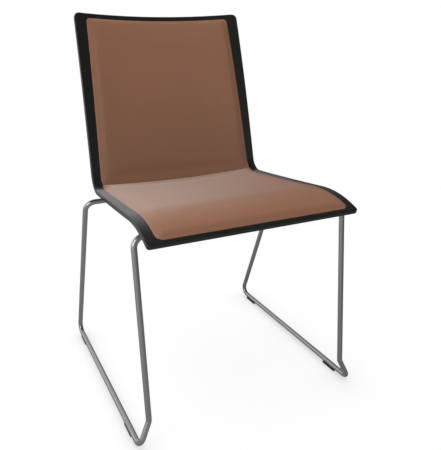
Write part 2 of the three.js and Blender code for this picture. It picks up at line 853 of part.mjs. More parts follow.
barSetbacks.forEach((setback, i) => {
  placeAt(barFrame(setback), node(`${endNames[i]}_cross_bar`, crossBar(), satinSteel()));
  for (const side of bothSides) {
    const place = frameScrewPlace(setback, side);
    placeAt(place, node(`${endNames[i]}_${sideName(side)}_frame_screw`, frameScrew(), zincSteel()));
    placeAt(place, node(`${endNames[i]}_${sideName(side)}_insert`, brassInsert(), brass()));
  }
});

const fourPlaces = ["front_left", "front_right", "rear_left", "rear_right"];
padScrewPlaces.forEach((place, i) => {
  placeAt(place, node(`${fourPlaces[i]}_pad_screw`, padScrew(), zincSteel()));
  placeAt(place, node(`${fourPlaces[i]}_tee_nut`, teeNut(), zincSteel()));
});

const clipNames = ["lower_left", "lower_right", "upper_left", "upper_right"];
clipPlaces.forEach((place, i) => placeAt(place, node(`${clipNames[i]}_clip`, clip(), whiteNylon())));

// The origin lies on the floor, under the middle of the chair's box.
parts.updateMatrixWorld(true);
const box = new THREE.Box3().setFromObject(parts, true);
parts.position.y = -(box.min.y + box.max.y) / 2;

export default chair;
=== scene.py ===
import json
import math
from functools import partial

import bmesh
import bpy
from bpy.props import FloatProperty, FloatVectorProperty, IntProperty, PointerProperty
from mathutils import Matrix, Vector


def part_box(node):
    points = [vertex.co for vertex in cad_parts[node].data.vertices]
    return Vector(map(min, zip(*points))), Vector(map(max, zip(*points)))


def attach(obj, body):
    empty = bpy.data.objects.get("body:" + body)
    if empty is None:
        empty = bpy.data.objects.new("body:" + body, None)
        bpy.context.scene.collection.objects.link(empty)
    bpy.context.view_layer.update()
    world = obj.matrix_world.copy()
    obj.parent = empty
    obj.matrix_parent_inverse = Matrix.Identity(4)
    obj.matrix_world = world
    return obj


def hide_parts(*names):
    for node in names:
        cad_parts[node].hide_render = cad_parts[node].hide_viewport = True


bl_info = {
    "name": "Sled Base Visitor Chair",
    "version": (1, 0, 0),
    "blender": (4, 5, 0),
    "location": "View3D > Sidebar > Visitor Chair",
    "description": "Builds a visitor chair with a padded shell on a sled base of bent steel rod",
    "category": "Object",
}

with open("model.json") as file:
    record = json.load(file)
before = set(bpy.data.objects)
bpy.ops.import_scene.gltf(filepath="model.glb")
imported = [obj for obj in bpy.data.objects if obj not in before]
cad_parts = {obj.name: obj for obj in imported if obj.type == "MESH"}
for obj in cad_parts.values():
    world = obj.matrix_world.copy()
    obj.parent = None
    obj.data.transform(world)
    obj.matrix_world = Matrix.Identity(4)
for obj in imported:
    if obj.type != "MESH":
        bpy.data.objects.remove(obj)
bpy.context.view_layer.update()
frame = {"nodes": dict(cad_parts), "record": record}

BODY = "root"
SIDES = {"left": -1, "right": 1}
ENDS = ("front", "rear")

# Fits
CLEARANCE = 0.0003
LAYER_GAP = 0.0006
OVERRUN = 0.002
MERGE_DISTANCE = 0.00001

# Shell, measured along its side line and across its face
SEAT_FRONT_WIDTH = 0.462
CREASE_WIDTH = 0.441
BACK_TOP_WIDTH = 0.421
SEAT_FLAT_LENGTH = 0.265
WATERFALL_RADIUS = 0.233
LIP_LENGTH = 0.0092
CREASE_RADIUS = 0.033
BACK_LENGTH = 0.376
CREASE_DISH = 0.014
BACK_TOP_DISH = 0.030

# The shell's place on the frame, from the tops of the front legs and the plane of the rods below it
SEAT_TIP_REACH = 0.0628
SEAT_TIP_LIFT = 0.0004
LIP_SLOPE = math.radians(25.8)
SEAT_FRONT_SLOPE = math.radians(2.8)
SEAT_REAR_SLOPE = math.radians(1.3)
BACK_LEAN = math.radians(8.7)
BACK_TOP_LEAN = math.radians(14.2)

# Pads, as margins from the shell's edge
BACK_PAD_MARGIN = 0.0285
CREASE_PAD_MARGIN = 0.0205
SEAT_PAD_MARGIN = 0.0205
SEAT_FRONT_MARGIN = 0.009
BACK_TOP_MARGIN = 0.012
FRONT_CORNER_RADIUS = 0.015
TOP_CORNER_RADIUS = 0.009
CREASE_CORNER_RADIUS = 0.004
BOARD_THICKNESS = 0.0035
BOARD_INSET = 0.014
BOARD_CORNER_RADIUS = 0.008
RECESS_INSET = BOARD_INSET * 0.85

# Frame
RUNNER_SPACING = 0.520
RUNNER_LENGTH = 0.524
FOOT_BEND_RADIUS = 0.018
KINK_HEIGHT = 0.051
KINK_SETBACK = 0.007
KINK_BEND_RADIUS = 0.016
FRONT_LEG_SPACING = 0.473
FRONT_LEG_TOP_SETBACK = 0.042
FRONT_TOP_HEIGHT = 0.4405
REAR_LEG_TOP_SPACING = 0.510
REAR_LEG_TOP_SETBACK = 0.331
REAR_TOP_HEIGHT = 0.429
TOP_BEND_RADIUS = 0.022
TOP_STRAIGHT = 0.001
RUN_REACH = FRONT_LEG_SPACING / 2 - TOP_BEND_RADIUS * 2 - TOP_STRAIGHT
BAR_WIDTH = 0.030
BAR_THICKNESS = 0.004
BAR_CORNER_RADIUS = 0.006
BAR_EDGE_RADIUS = 0.0007
BAR_OVERHANG = 0.004
FRONT_BAR_INSET = 0.063
REAR_BAR_INSET = 0.051
BAR_SETBACKS = (FRONT_LEG_TOP_SETBACK + FRONT_BAR_INSET, REAR_LEG_TOP_SETBACK - REAR_BAR_INSET)
FRAME_FALL = math.atan2(FRONT_TOP_HEIGHT - REAR_TOP_HEIGHT, REAR_LEG_TOP_SETBACK - FRONT_LEG_TOP_SETBACK)
FRAME_SCREW_SPACING = 0.330
FRAME_SCREW_DIAMETER = 0.006
FRAME_SCREW_LENGTH = 0.020
FRAME_SCREW_HEAD_HEIGHT = 0.0034
BOSS_DIAMETER = 0.022
BOSS_TOP_DIAMETER = 0.028
BOSS_ROOT = 0.005
INSERT_DIAMETER = 0.009
INSERT_LENGTH = 0.012
INSERT_FLANGE = 0.001

# Screws of the seat pad
PAD_SCREW_SPACING = 0.220
PAD_SCREW_REACHES = (0.095, 0.245)
PAD_SCREW_RECESS = 0.004
PAD_SCREW_DIAMETER = 0.005
PAD_SCREW_HEAD = 0.010
PAD_SCREW_HEAD_HEIGHT = 0.003
PAD_SCREW_TIP = 0.0027  # how far it stands out of the board
TEE_NUT_BARREL = 0.0074

# Push-in clips of the back pad
CLIP_SPACING = 0.260
CLIP_REACHES = (0.090, 0.300)
CLIP_STEM = 0.005

# Glides
SOLE_HEIGHT = 0.0045
GLIDE_LENGTH = 0.045
GLIDE_WIDTH = 0.011
GLIDE_NOSE = 0.003
GLIDE_EDGE_RADIUS = 0.0009
GLIDE_WRAP = 0.0035
GLIDE_SETBACKS = (0.070, 0.466)

# The runners' front corner lies this far along Y in the part's frame.
front_glide_low, front_glide_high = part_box("front_left_glide")
FRONT_CORNER = (front_glide_low.y + front_glide_high.y) / 2 - GLIDE_SETBACKS[0]


# Settings


def number(name, description, default, **kind):
    """A setting that is one number."""
    return FloatProperty(name=name, description=description, default=default, **kind)


metres = partial(number, unit="LENGTH")
watts = partial(number, unit="POWER")
factor = partial(number, subtype="FACTOR")


def colour(name, description, default):
    """A setting that is a colour."""
    return FloatVectorProperty(name=name, description=description, default=default, subtype="COLOR")


class ShellSettings(bpy.types.PropertyGroup):
    """The moulded shell."""

    thickness: metres("Thickness", "Wall of the shell", 0.013)
    front_thickness: metres("Front thickness", "Wall at the seat's front edge", 0.012)
    edge_radius: metres("Edge radius", "Rounding of the upper edge", 0.003)
    underside_radius: metres("Underside radius", "Rounding of the lower edge", 0.004)
    front_corner: metres("Front corner", "Radius of the seat's front corners", 0.007)
    top_corner: metres("Top corner", "Radius of the back's top corners", 0.013)
    color: colour("Plastic", "Colour of the moulding", (0.0075, 0.0072, 0.0068))
    gloss: factor("Roughness", "Mean roughness of the moulding", 0.34)


class PadSettings(bpy.types.PropertyGroup):
    """The two leather pads."""

    height: metres("Height", "From the shell's face to the pad's", 0.0075)
    side: metres("Side", "Upright side under the rolled edge", 0.0008)
    roll_width: metres("Roll width", "Width of the rolled edge", 0.017)
    top_roll: metres("Top roll", "Width of the roll at the top of the back", 0.008)
    crease_roll: metres("Crease roll", "Width of the roll where the pads meet", 0.0025)
    fullness: number("Fullness", "1 is a flat bevel and 2 a round roll", 1.3, min=1, max=2)
    bevel: factor("Bevel", "Share of the roll's drop that is a flat bevel", 0.8)
    crown: metres("Crown", "How far the middle stands above the edges", 0.0025)
    swell: metres("Swell", "How far the leather may swell", 0.001)
    pressure: number("Pressure", "Pressure of the foam on the leather", 4.0)
    color: colour("Leather", "Colour of the leather", (0.222, 0.0975, 0.051))
    grain: metres("Grain", "Size of one cell of the grain", 0.0014)


class FrameSettings(bpy.types.PropertyGroup):
    """The rods, bars, screws and glides."""

    rod_diameter: metres("Rod", "Diameter of the round rod", 0.012)
    rod_sides: IntProperty(name="Rod sides", description="Faces round the rod", default=32, min=12)
    weld_radius: metres("Weld", "Radius of a weld bead", 0.0026)
    frame_screw_head: metres("Screw head", "Diameter of the frame screws' heads", 0.012)
    steel: colour("Steel", "Colour of the rods", (0.42, 0.42, 0.42))
    glide: colour("Glides", "Colour of the nylon glides", (0.008, 0.008, 0.008))


class StageSettings(bpy.types.PropertyGroup):
    """The floor, the lamps and the room that the gloss mirrors."""

    floor: colour("Floor", "Colour of the floor", (0.96, 0.96, 0.96))
    shadow: factor("Shadow", "How much of the floor's shading shows", 0.1)
    contact: factor("Contact", "How light the floor is right under the glides", 0.5)
    contact_reach: metres("Contact reach", "How far the shade close to the glides spreads", 0.1)
    ambient: number("Ambient", "Strength of the room's light", 0.64)
    ceiling: number("Ceiling", "How light the ceiling is in reflections", 0.06)
    mirrored_floor: factor("Mirrored floor", "How light the floor is in reflections", 0.36)
    front: number("Front", "How light the room's front is in reflections", 0.08)
    horizon: number("Horizon", "How light the front's foot is in reflections", 0.5)
    right: number("Right", "How light the room's right is in reflections", 0.15)
    overhead_lamp: watts("Overhead lamp", "Power of the lamp above", 15)
    top_lamp: watts("Top lamp", "Power of the lamp over the back", 36)
    side_lamp: watts("Side lamp", "Power of the lamp at the left", 18)
    rear_lamp: watts("Rear lamp", "Power of the lamp behind", 10)


class ChairSettings(bpy.types.PropertyGroup):
    """Everything that can be set on the chair."""

    shell: PointerProperty(type=ShellSettings)
    pads: PointerProperty(type=PadSettings)
    frame: PointerProperty(type=FrameSettings)
    stage: PointerProperty(type=StageSettings)


# The shell's side line: each stretch has a length and a turn

WATERFALL_TURN = LIP_SLOPE + SEAT_FRONT_SLOPE
CREASE_TURN = math.pi / 2 - BACK_LEAN + SEAT_REAR_SLOPE
SIDE_LINE = (
    (LIP_LENGTH, 0),
    (WATERFALL_RADIUS * WATERFALL_TURN, -WATERFALL_TURN),
    (SEAT_FLAT_LENGTH, SEAT_FRONT_SLOPE - SEAT_REAR_SLOPE),
    (CREASE_RADIUS * CREASE_TURN, CREASE_TURN),
    (BACK_LENGTH, BACK_LEAN - BACK_TOP_LEAN),
)
SIDE_LENGTH = sum(length for length, _ in SIDE_LINE)
WATERFALL_END = sum(length for length, _ in SIDE_LINE[:2])
CREASE_START = sum(length for length, _ in SIDE_LINE[:3])
CREASE_END = CREASE_START + SIDE_LINE[3][0]
CREASE_MIDDLE = (CREASE_START + CREASE_END) / 2


def side_point(reach):
    """The place and heading of the side line, a reach from the seat's front edge."""
    fall_cos, fall_sin = math.cos(FRAME_FALL), math.sin(FRAME_FALL)
    y = FRONT_LEG_TOP_SETBACK - SEAT_TIP_REACH * fall_cos + SEAT_TIP_LIFT * fall_sin
    z = FRONT_TOP_HEIGHT + SEAT_TIP_REACH * fall_sin + SEAT_TIP_LIFT * fall_cos
    heading, left = LIP_SLOPE - FRAME_FALL, reach
    for length, turn in SIDE_LINE:
        run = min(left, length)
        half = turn * run / length / 2
        chord = run * math.sin(half) / half if half else run
        y += chord * math.cos(heading + half)
        z += chord * math.sin(heading + half)
        heading += half * 2
        left -= run
        if left <= 0:
            break
    return y + FRONT_CORNER, z, heading


def mix(start, end, share):
    return start + (end - start) * min(1, max(0, share))


def along_side(reach, front, crease, top):
    """A size that changes evenly from the seat's front to the crease and on to the top of the back."""
    if reach < CREASE_MIDDLE:
        return mix(front, crease, reach / CREASE_MIDDLE)
    return mix(crease, top, (reach - CREASE_MIDDLE) / (SIDE_LENGTH - CREASE_MIDDLE))


def shell_half(reach):
    """Half the width of the shell."""
    return along_side(reach, SEAT_FRONT_WIDTH, CREASE_WIDTH, BACK_TOP_WIDTH) / 2


def pad_half(reach):
    """Half the width of a pad."""
    return shell_half(reach) - along_side(reach, SEAT_PAD_MARGIN, CREASE_PAD_MARGIN, BACK_PAD_MARGIN)


def dish(reach):
    """How deep the face is dished in the middle."""
    if reach < CREASE_MIDDLE:
        return CREASE_DISH * math.sin(math.pi / 2 * (reach / CREASE_MIDDLE)) ** 2
    return along_side(reach, 0, CREASE_DISH, BACK_TOP_DISH)


def face_point(reach, across, lift):
    """A point above the shell's face."""
    y, z, heading = side_point(reach)
    rise = lift - dish(reach) * (1 - (across / shell_half(reach)) ** 2)
    return Vector((across, y - rise * math.sin(heading), z + rise * math.cos(heading)))


def face_frame(reach, across):
    """The frame of a screw that stands square on the shell's face."""
    origin = face_point(reach, across, 0)
    along = (face_point(reach + CLEARANCE, across, 0) - origin).normalized()
    sideways = (face_point(reach, across + CLEARANCE, 0) - origin).normalized()
    normal = sideways.cross(along).normalized()
    turned = Matrix((sideways, normal.cross(sideways), normal)).transposed().to_4x4()
    return Matrix.Translation(origin) @ turned


def bar_frame(setback):
    """The plane of the two rods under the seat, at a cross bar."""
    height = FRONT_TOP_HEIGHT - (setback - FRONT_LEG_TOP_SETBACK) * math.tan(FRAME_FALL)
    return Matrix.Translation((0, setback + FRONT_CORNER, height)) @ Matrix.Rotation(-FRAME_FALL, 4, "X")


# Mesh helpers


def object_from(bm, name):
    """Links a new object with the mesh of a bmesh."""
    mesh = bpy.data.meshes.new(name)
    bm.to_mesh(mesh)
    bm.free()
    made = bpy.data.objects.new(name, mesh)
    bpy.context.scene.collection.objects.link(made)
    return made


def smooth(piece, degrees):
    """Shades a piece smooth, but sharp where its faces meet at more than an angle."""
    piece.data.shade_smooth()
    piece.data.set_sharp_from_angle(angle=math.radians(degrees))


def piece_from(bm, name, material, smooth_angle=40):
    """Makes a finished piece of a bmesh, riding on the chair."""
    piece = object_from(bm, name)
    piece.data.materials.append(material)
    smooth(piece, smooth_angle)
    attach(piece, BODY)
    return piece


def spread(start, end, step):
    """Even places from start to end, about a step apart."""
    count = max(1, round((end - start) / step))
    return [start + (end - start) * i / count for i in range(count + 1)]


def closing_in(zone, count):
    """Distances from an edge within a zone, close together at the edge itself."""
    return [zone * (1 - math.cos(math.pi / 2 * i / count)) for i in range(count)]


def stations(start, end, zones, count, step):
    """Places along the side line: close together in the zone at each end and even in between."""
    first = [start + d for d in closing_in(zones[0], count)]
    last = [end - d for d in reversed(closing_in(zones[1], count))]
    return first + spread(start + zones[0], end - zones[1], step) + last


def narrowed(half, corner, distance):
    """Half a width where rounded corners narrow it, at a distance from the end."""
    inward = max(0, corner - distance)
    return half - corner + math.sqrt(corner**2 - inward**2)


def grid_slab(rows, columns, place):
    """A closed slab. place gives the point of each grid crossing, on the upper or the lower face."""
    bm = bmesh.new()
    bmesh.ops.create_grid(bm, x_segments=columns, y_segments=rows, size=0.5)
    made = bmesh.ops.extrude_face_region(bm, geom=bm.faces[:], use_keep_orig=True)
    lower = [v for v in made["geom"] if isinstance(v, bmesh.types.BMVert)]
    bmesh.ops.translate(bm, verts=lower, vec=(0, 0, -1))
    for vert in bm.verts:
        row = round((vert.co.y + 0.5) * rows)
        column = round((vert.co.x + 0.5) * columns)
        vert.co = place(row, column, vert.co.z > -0.5)
    bmesh.ops.recalc_face_normals(bm, faces=bm.faces[:])
    return bm


def line_across(column, columns, edges, half, zone):
    """Where a grid line crosses a section: close together within the zone at each edge."""
    i = min(column, columns - column)
    if i <= edges:
        x = half - zone * (1 - math.cos(math.pi / 2 * i / edges))
    else:
        x = (half - zone) * (1 - (i - edges) / (columns / 2 - edges))
    return -x if column < columns / 2 else x


def rounding(depth, radius):
    """How far a rounded edge has dropped, a depth in from the side."""
    inward = max(0, radius - depth)
    return radius - math.sqrt(radius**2 - inward**2)


def cylinder(bm, radius, low, high, place, sides=32, top_radius=None):
    """A closed cylinder along +Z of the place, or a cone where its top has another radius."""
    bmesh.ops.create_cone(
        bm, cap_ends=True, segments=sides, radius1=radius, radius2=top_radius or radius,
        depth=high - low, matrix=place @ Matrix.Translation((0, 0, (low + high) / 2)),
    )


def bevel(bm, edges, radius, segments):
    """Rounds edges."""
    bmesh.ops.bevel(
        bm, geom=edges, offset=radius, offset_type="OFFSET", segments=segments,
        profile=0.5, affect="EDGES", material=-1, clamp_overlap=True,
    )


def sharp_edges(bm, degrees):
    """The edges at which two faces meet at more than an angle."""
    return [e for e in bm.edges if e.calc_face_angle() > math.radians(degrees)]


def facing(point, heading):
    """A frame at a point, with its +Z along a heading."""
    return Matrix.Translation(point) @ heading.to_track_quat("Z", "Y").to_matrix().to_4x4()


def ring_edges(bm, ring):
    """The edges between the vertices of a ring."""
    inside = set(ring)
    return [e for e in bm.edges if e.verts[0] in inside and e.verts[1] in inside]


def spin_round(bm, section, centre, axis, steps):
    """Turns a section all the way round an axis."""
    bmesh.ops.spin(
        bm, geom=section, cent=centre, axis=axis, dvec=(0, 0, 0),
        angle=math.tau, steps=steps, use_merge=True,
    )


def close_mesh(bm):
    """Merges doubled vertices and turns the faces outwards."""
    bmesh.ops.remove_doubles(bm, verts=bm.verts[:], dist=MERGE_DISTANCE)
    bmesh.ops.recalc_face_normals(bm, faces=bm.faces[:])


def carve(piece, bm, operation):
    """Joins or cuts a piece with the solids of a bmesh."""
    bmesh.ops.recalc_face_normals(bm, faces=bm.faces[:])
    tool = object_from(bm, "tool")
    modifier = piece.modifiers.new("carve", "BOOLEAN")
    modifier.operation = operation
    modifier.object = tool
    modifier.solver = "EXACT"
    modifier.use_self = True
    bpy.context.view_layer.update()
    evaluated = piece.evaluated_get(bpy.context.evaluated_depsgraph_get())
    carved = bpy.data.meshes.new_from_object(evaluated)
    piece.modifiers.clear()
    piece.data = carved
    bpy.data.objects.remove(tool)


# Node helpers


def add(tree, kind, inputs=None, **settings):
    """Adds a node. An input is given a value, or another node's output to be linked to."""
    made = tree.nodes.new(kind)
    for name, value in settings.items():
        setattr(made, name, value)
    for name, value in (inputs or {}).items():
        if isinstance(value, bpy.types.NodeSocket):
            tree.links.new(value, made.inputs[name])
        else:
            made.inputs[name].default_value = value
    return made


def math_node(tree, operation, first, second):
    return add(tree, "ShaderNodeMath", {0: first, 1: second}, operation=operation).outputs[0]


def times(tree, first, second):
    return math_node(tree, "MULTIPLY", first, second)


def remap(tree, value, low, high, span=(0.0, 1.0), kind="LINEAR"):
    """Turns a span of values into low to high."""
    ends = {"From Min": span[0], "From Max": span[1], "To Min": low, "To Max": high}
    made = add(tree, "ShaderNodeMapRange", {"Value": value, **ends}, interpolation_type=kind)
    return made.outputs["Result"]


def ease(tree, value, low, high, span):
    """Turns a span of values into low to high, with a soft start and end."""
    return remap(tree, value, low, high, span, "SMOOTHSTEP")


def mix_value(tree, share, first, second):
    return add(tree, "ShaderNodeMix", {"Factor": share, 2: first, 3: second}).outputs[0]


def mix_color(tree, share, first, second):
    """Mixes two colours, each three numbers or another node's output."""
    ends = [end if isinstance(end, bpy.types.NodeSocket) else (*end, 1) for end in (first, second)]
    made = add(tree, "ShaderNodeMix", {"Factor": share, 6: ends[0], 7: ends[1]}, data_type="RGBA")
    return made.outputs[2]


def noise(tree, vector, scale, detail):
    return add(tree, "ShaderNodeTexNoise", {"Vector": vector, "Scale": scale, "Detail": detail}).outputs


def stretched(tree, vector, scale):
    return add(tree, "ShaderNodeMapping", {"Vector": vector, "Scale": scale}).outputs["Vector"]


def object_place(tree):
    return tree.nodes.new("ShaderNodeTexCoord").outputs["Object"]


def edge_value(tree):
    """How near a point is to the piece's rounded edge, kept with the mesh."""
    return add(tree, "ShaderNodeAttribute", attribute_name="edge").outputs["Fac"]


def tint(color, times_lighter):
    return tuple(channel * times_lighter for channel in color)


# Node groups


def new_group(name, **defaults):
    """Starts a node group that takes a vector and some numbers, given with their defaults."""
    group = bpy.data.node_groups.new(name, "ShaderNodeTree")
    group.interface.new_socket("Vector", in_out="INPUT", socket_type="NodeSocketVector")
    for socket, default in defaults.items():
        made = group.interface.new_socket(socket, in_out="INPUT", socket_type="NodeSocketFloat")
        made.default_value = default
    return group, group.nodes.new("NodeGroupInput").outputs


def put_out(group, **values):
    """Gives a node group its outputs."""
    for socket in values:
        group.interface.new_socket(socket, in_out="OUTPUT", socket_type="NodeSocketFloat")
    add(group, "NodeGroupOutput", values)


def mottle_group():
    """Broad, soft clouding and a fine speckle, both from 0 to 1."""
    group, given = new_group("Mottle", Broad=8.0, Fine=900.0)
    broad = noise(group, given["Vector"], given["Broad"], 3.0)["Fac"]
    fine = noise(group, given["Vector"], given["Fine"], 2.0)["Fac"]
    put_out(group, Broad=broad, Fine=fine)


def grain_group():
    """Leather grain: rounded cells parted by creases, in two sizes."""
    bend_scale, bend_reach = 260.0, 0.0012
    crease_width = 0.28
    small_cells, small_depth = 2.3, 0.35
    group, given = new_group("Leather grain", Cells=700.0)
    bend = noise(group, given["Vector"], bend_scale, 1.0)["Color"]
    shift = add(group, "ShaderNodeVectorMath", {0: bend, 1: (bend_reach,) * 3}, operation="MULTIPLY")
    moved = add(
        group, "ShaderNodeVectorMath", {0: given["Vector"], 1: shift.outputs[0]}, operation="ADD"
    ).outputs[0]
    layers = []
    for scale in (given["Cells"], times(group, given["Cells"], small_cells)):
        inputs = {"Vector": moved, "Scale": scale}
        cells = add(group, "ShaderNodeTexVoronoi", inputs, feature="DISTANCE_TO_EDGE")
        layers.append(ease(group, cells.outputs["Distance"], 0.0, 1.0, (0.0, crease_width)))
    height = math_node(group, "ADD", layers[0], times(group, layers[1], small_depth))
    put_out(group, Height=height, Creases=math_node(group, "SUBTRACT", 1.0, layers[0]))


def wear_group():
    """Rubbing that starts at an edge and breaks up in patches."""
    patch_edge = (0.35, 0.7)
    group, given = new_group("Rubbed edge", Edge=0.0, Patches=45.0)
    cloud = noise(group, given["Vector"], given["Patches"], 5.0)["Fac"]
    put_out(group, Wear=times(group, given["Edge"], ease(group, cloud, 0.0, 1.0, patch_edge)))


def use_group(tree, name, vector, **values):
    """Places a node group with its own values, and gives its outputs."""
    inputs = {"Vector": vector, **values}
    return add(tree, "ShaderNodeGroup", inputs, node_tree=bpy.data.node_groups[name]).outputs


# Materials


def empty_tree(owner):
    """The node tree of a material or a world, cleared."""
    owner.use_nodes = True
    owner.node_tree.nodes.clear()
    return owner.node_tree


def new_material(name):
    material = bpy.data.materials.new(name)
    return material, empty_tree(material)


def finish(tree, surface, height, depth, strength):
    """Adds a material's shader, with what its surface shows and a relief of a height."""
    relief = add(tree, "ShaderNodeBump", {"Height": height, "Distance": depth, "Strength": strength})
    inputs = {**surface, "Normal": relief.outputs["Normal"]}
    shader = add(tree, "ShaderNodeBsdfPrincipled", inputs)
    add(tree, "ShaderNodeOutputMaterial", {"Surface": shader.outputs[0]})


def shell_material(settings):
    """Black plastic with a fine moulded texture, paler and smoother where its edge is rubbed."""
    gloss_spread, rub, rub_polish = 0.05, 0.35, 0.08
    material, tree = new_material("moulded_plastic")
    place, color, gloss = object_place(tree), tuple(settings.color), settings.gloss
    mottle = use_group(tree, "Mottle", place, Broad=7.0, Fine=1500.0)
    wear = use_group(tree, "Rubbed edge", place, Edge=edge_value(tree), Patches=30.0)["Wear"]
    base = mix_color(tree, mottle["Broad"], tint(color, 0.85), tint(color, 1.15))
    rubbed = mix_color(tree, times(tree, wear, rub), base, tint(color, 3.0))
    rough = remap(tree, mottle["Broad"], gloss - gloss_spread, gloss + gloss_spread)
    polished = math_node(tree, "SUBTRACT", rough, times(tree, wear, rub_polish))
    surface = {"Base Color": rubbed, "Roughness": polished, "Specular IOR Level": 0.5}
    finish(tree, surface, mottle["Fine"], depth=0.00006, strength=0.5)
    return material


def leather_material(settings):
    """Brown leather, clouded and creased, darker along its rolled edge as painted shade, and darker and
    smoother in patches of wear.
    """
    # The rolled edge's darkening is painted shade; the wear's darkening and polish are real wear.
    speckle, crease_dye, rolled_edge_painted_shade, wear_dye, wear_polish = 0.2, 0.22, 0.12, 0.05, 0.03
    material, tree = new_material("brown_leather")
    place, color, edge = object_place(tree), tuple(settings.color), edge_value(tree)
    mottle = use_group(tree, "Mottle", place, Broad=5.0, Fine=420.0)
    grain = use_group(tree, "Leather grain", place, Cells=1 / settings.grain)
    wear = use_group(tree, "Rubbed edge", place, Edge=edge, Patches=40.0)["Wear"]
    clouded = mix_color(tree, mottle["Broad"], tint(color, 0.92), tint(color, 1.08))
    speckled = mix_color(tree, times(tree, mottle["Fine"], speckle), clouded, tint(color, 0.8))
    creased = mix_color(tree, times(tree, grain["Creases"], crease_dye), speckled, tint(color, 0.55))
    # Painted shade: the rolled edge is darkened, most halfway down the roll; patches of wear darken it
    # further.
    painted_shade_and_wear = math_node(tree, "ADD", times(tree, edge, rolled_edge_painted_shade), times(tree, wear, wear_dye))
    darkened = mix_color(tree, painted_shade_and_wear, creased, tint(color, 0.5))
    rough = remap(tree, mottle["Fine"], 0.3, 0.4)
    polished = math_node(tree, "SUBTRACT", rough, times(tree, wear, wear_polish))
    surface = {"Base Color": darkened, "Roughness": polished, "Specular IOR Level": 0.75}
    finish(tree, surface, grain["Height"], depth=0.00007, strength=0.6)
    return material


def steel_material(settings):
    """Satin chrome: fine draw lines that follow the rod round its bends."""
    line_stretch, smudge = 0.03, 0.06
    material, tree = new_material("satin_chrome")
    color = tuple(settings.steel)
    drawn = add(tree, "ShaderNodeAttribute", attribute_name="drawn").outputs["Vector"]
    long_drawn = stretched(tree, drawn, (1.0, 1.0, line_stretch))
    lines = use_group(tree, "Mottle", long_drawn, Broad=260.0, Fine=2600.0)
    patches = use_group(tree, "Mottle", drawn, Broad=12.0, Fine=60.0)
    base = mix_color(tree, patches["Broad"], tint(color, 0.93), tint(color, 1.07))
    rough = remap(tree, lines["Broad"], 0.26, 0.36)
    smudged = math_node(tree, "ADD", rough, times(tree, patches["Fine"], smudge))
    surface = {"Base Color": base, "Roughness": smudged, "Metallic": 1.0}
    finish(tree, surface, lines["Fine"], depth=0.00002, strength=0.3)
    return material


def mottled_material(name, color, tints, roughness, scales, relief, uniform):
    """A finish whose colour and roughness follow one broad mottle, over a fine relief."""
    material, tree = new_material(name)
    mottle = use_group(tree, "Mottle", object_place(tree), Broad=scales[0], Fine=scales[1])
    base = mix_color(tree, mottle["Broad"], tint(color, tints[0]), tint(color, tints[1]))
    rough = remap(tree, mottle["Broad"], *roughness)
    finish(tree, {"Base Color": base, "Roughness": rough, **uniform}, mottle["Fine"], *relief)
    return material


def plated_material(name, color, roughness):
    """Zinc or brass with a faint crystalline mottle."""
    return mottled_material(
        name, color, tints=(0.85, 1.12), roughness=roughness,
        scales=(160.0, 2200.0), relief=(0.00003, 0.3), uniform={"Metallic": 1.0},
    )


def nylon_material(name, color, roughness):
    """Moulded nylon, scuffed in patches."""
    return mottled_material(
        name, color, tints=(0.8, 1.3), roughness=roughness,
        scales=(90.0, 1800.0), relief=(0.00005, 0.4), uniform={"Specular IOR Level": 0.45},
    )


def plywood_material():
    """Bare face veneer, with its figure along the chair's depth."""
    pale, dark = (0.46, 0.28, 0.12), (0.3, 0.16, 0.062)
    figure_stretch, pores = 0.06, 0.3
    material, tree = new_material("plywood")
    lengthways = stretched(tree, object_place(tree), (1.0, figure_stretch, figure_stretch))
    figure = use_group(tree, "Mottle", lengthways, Broad=60.0, Fine=900.0)
    base = mix_color(tree, figure["Broad"], pale, dark)
    pored = mix_color(tree, times(tree, figure["Fine"], pores), base, tint(dark, 0.6))
    rough = remap(tree, figure["Fine"], 0.6, 0.8)
    surface = {"Base Color": pored, "Roughness": rough, "Specular IOR Level": 0.3}
    finish(tree, surface, figure["Fine"], depth=0.00008, strength=0.5)
    return material


def material_named(name, maker, *values):
    """A material that several pieces share, made when the first of them asks for it."""
    return bpy.data.materials.get(name) or maker(*values)


def shared_steel(settings):
    return material_named("satin_chrome", steel_material, settings)


def shared_plywood():
    return material_named("plywood", plywood_material)


def shared_zinc():
    return material_named("zinc", plated_material, "zinc", (0.46, 0.48, 0.5), (0.3, 0.45))


# Rods

BEND_STEP = math.radians(6)
JOINT_BEAD_SIZE = 0.22  # radius of the bead round a rod's joint, as a share of the rod's radius
JOINT_BEAD_SINK = 0.4  # how deep that bead's middle lies in the rod, as a share of the bead's radius


def rod_corners(sign, sizes):
    """The corners of one side's rod and the radius it is bent to at each."""
    runner = SOLE_HEIGHT + sizes.rod_diameter / 2
    shift = Vector((0, FRONT_CORNER, 0))

    def corner(across, setback, height, radius):
        return Vector((sign * across, setback, height)) + shift, radius

    front = corner(RUN_REACH, FRONT_LEG_TOP_SETBACK, FRONT_TOP_HEIGHT, TOP_BEND_RADIUS)
    rear = corner(RUN_REACH, REAR_LEG_TOP_SETBACK, REAR_TOP_HEIGHT, TOP_BEND_RADIUS)
    joint = ((front[0] + rear[0]) / 2, 0)
    return [
        joint,
        front,
        corner(FRONT_LEG_SPACING / 2, FRONT_LEG_TOP_SETBACK, FRONT_TOP_HEIGHT, TOP_BEND_RADIUS),
        corner(FRONT_LEG_SPACING / 2, KINK_SETBACK, runner + KINK_HEIGHT, KINK_BEND_RADIUS),
        corner(RUNNER_SPACING / 2, 0, runner, FOOT_BEND_RADIUS),
        corner(RUNNER_SPACING / 2, RUNNER_LENGTH, runner, FOOT_BEND_RADIUS),
        corner(REAR_LEG_TOP_SPACING / 2, REAR_LEG_TOP_SETBACK, REAR_TOP_HEIGHT, TOP_BEND_RADIUS),
        rear,
        joint,
    ]


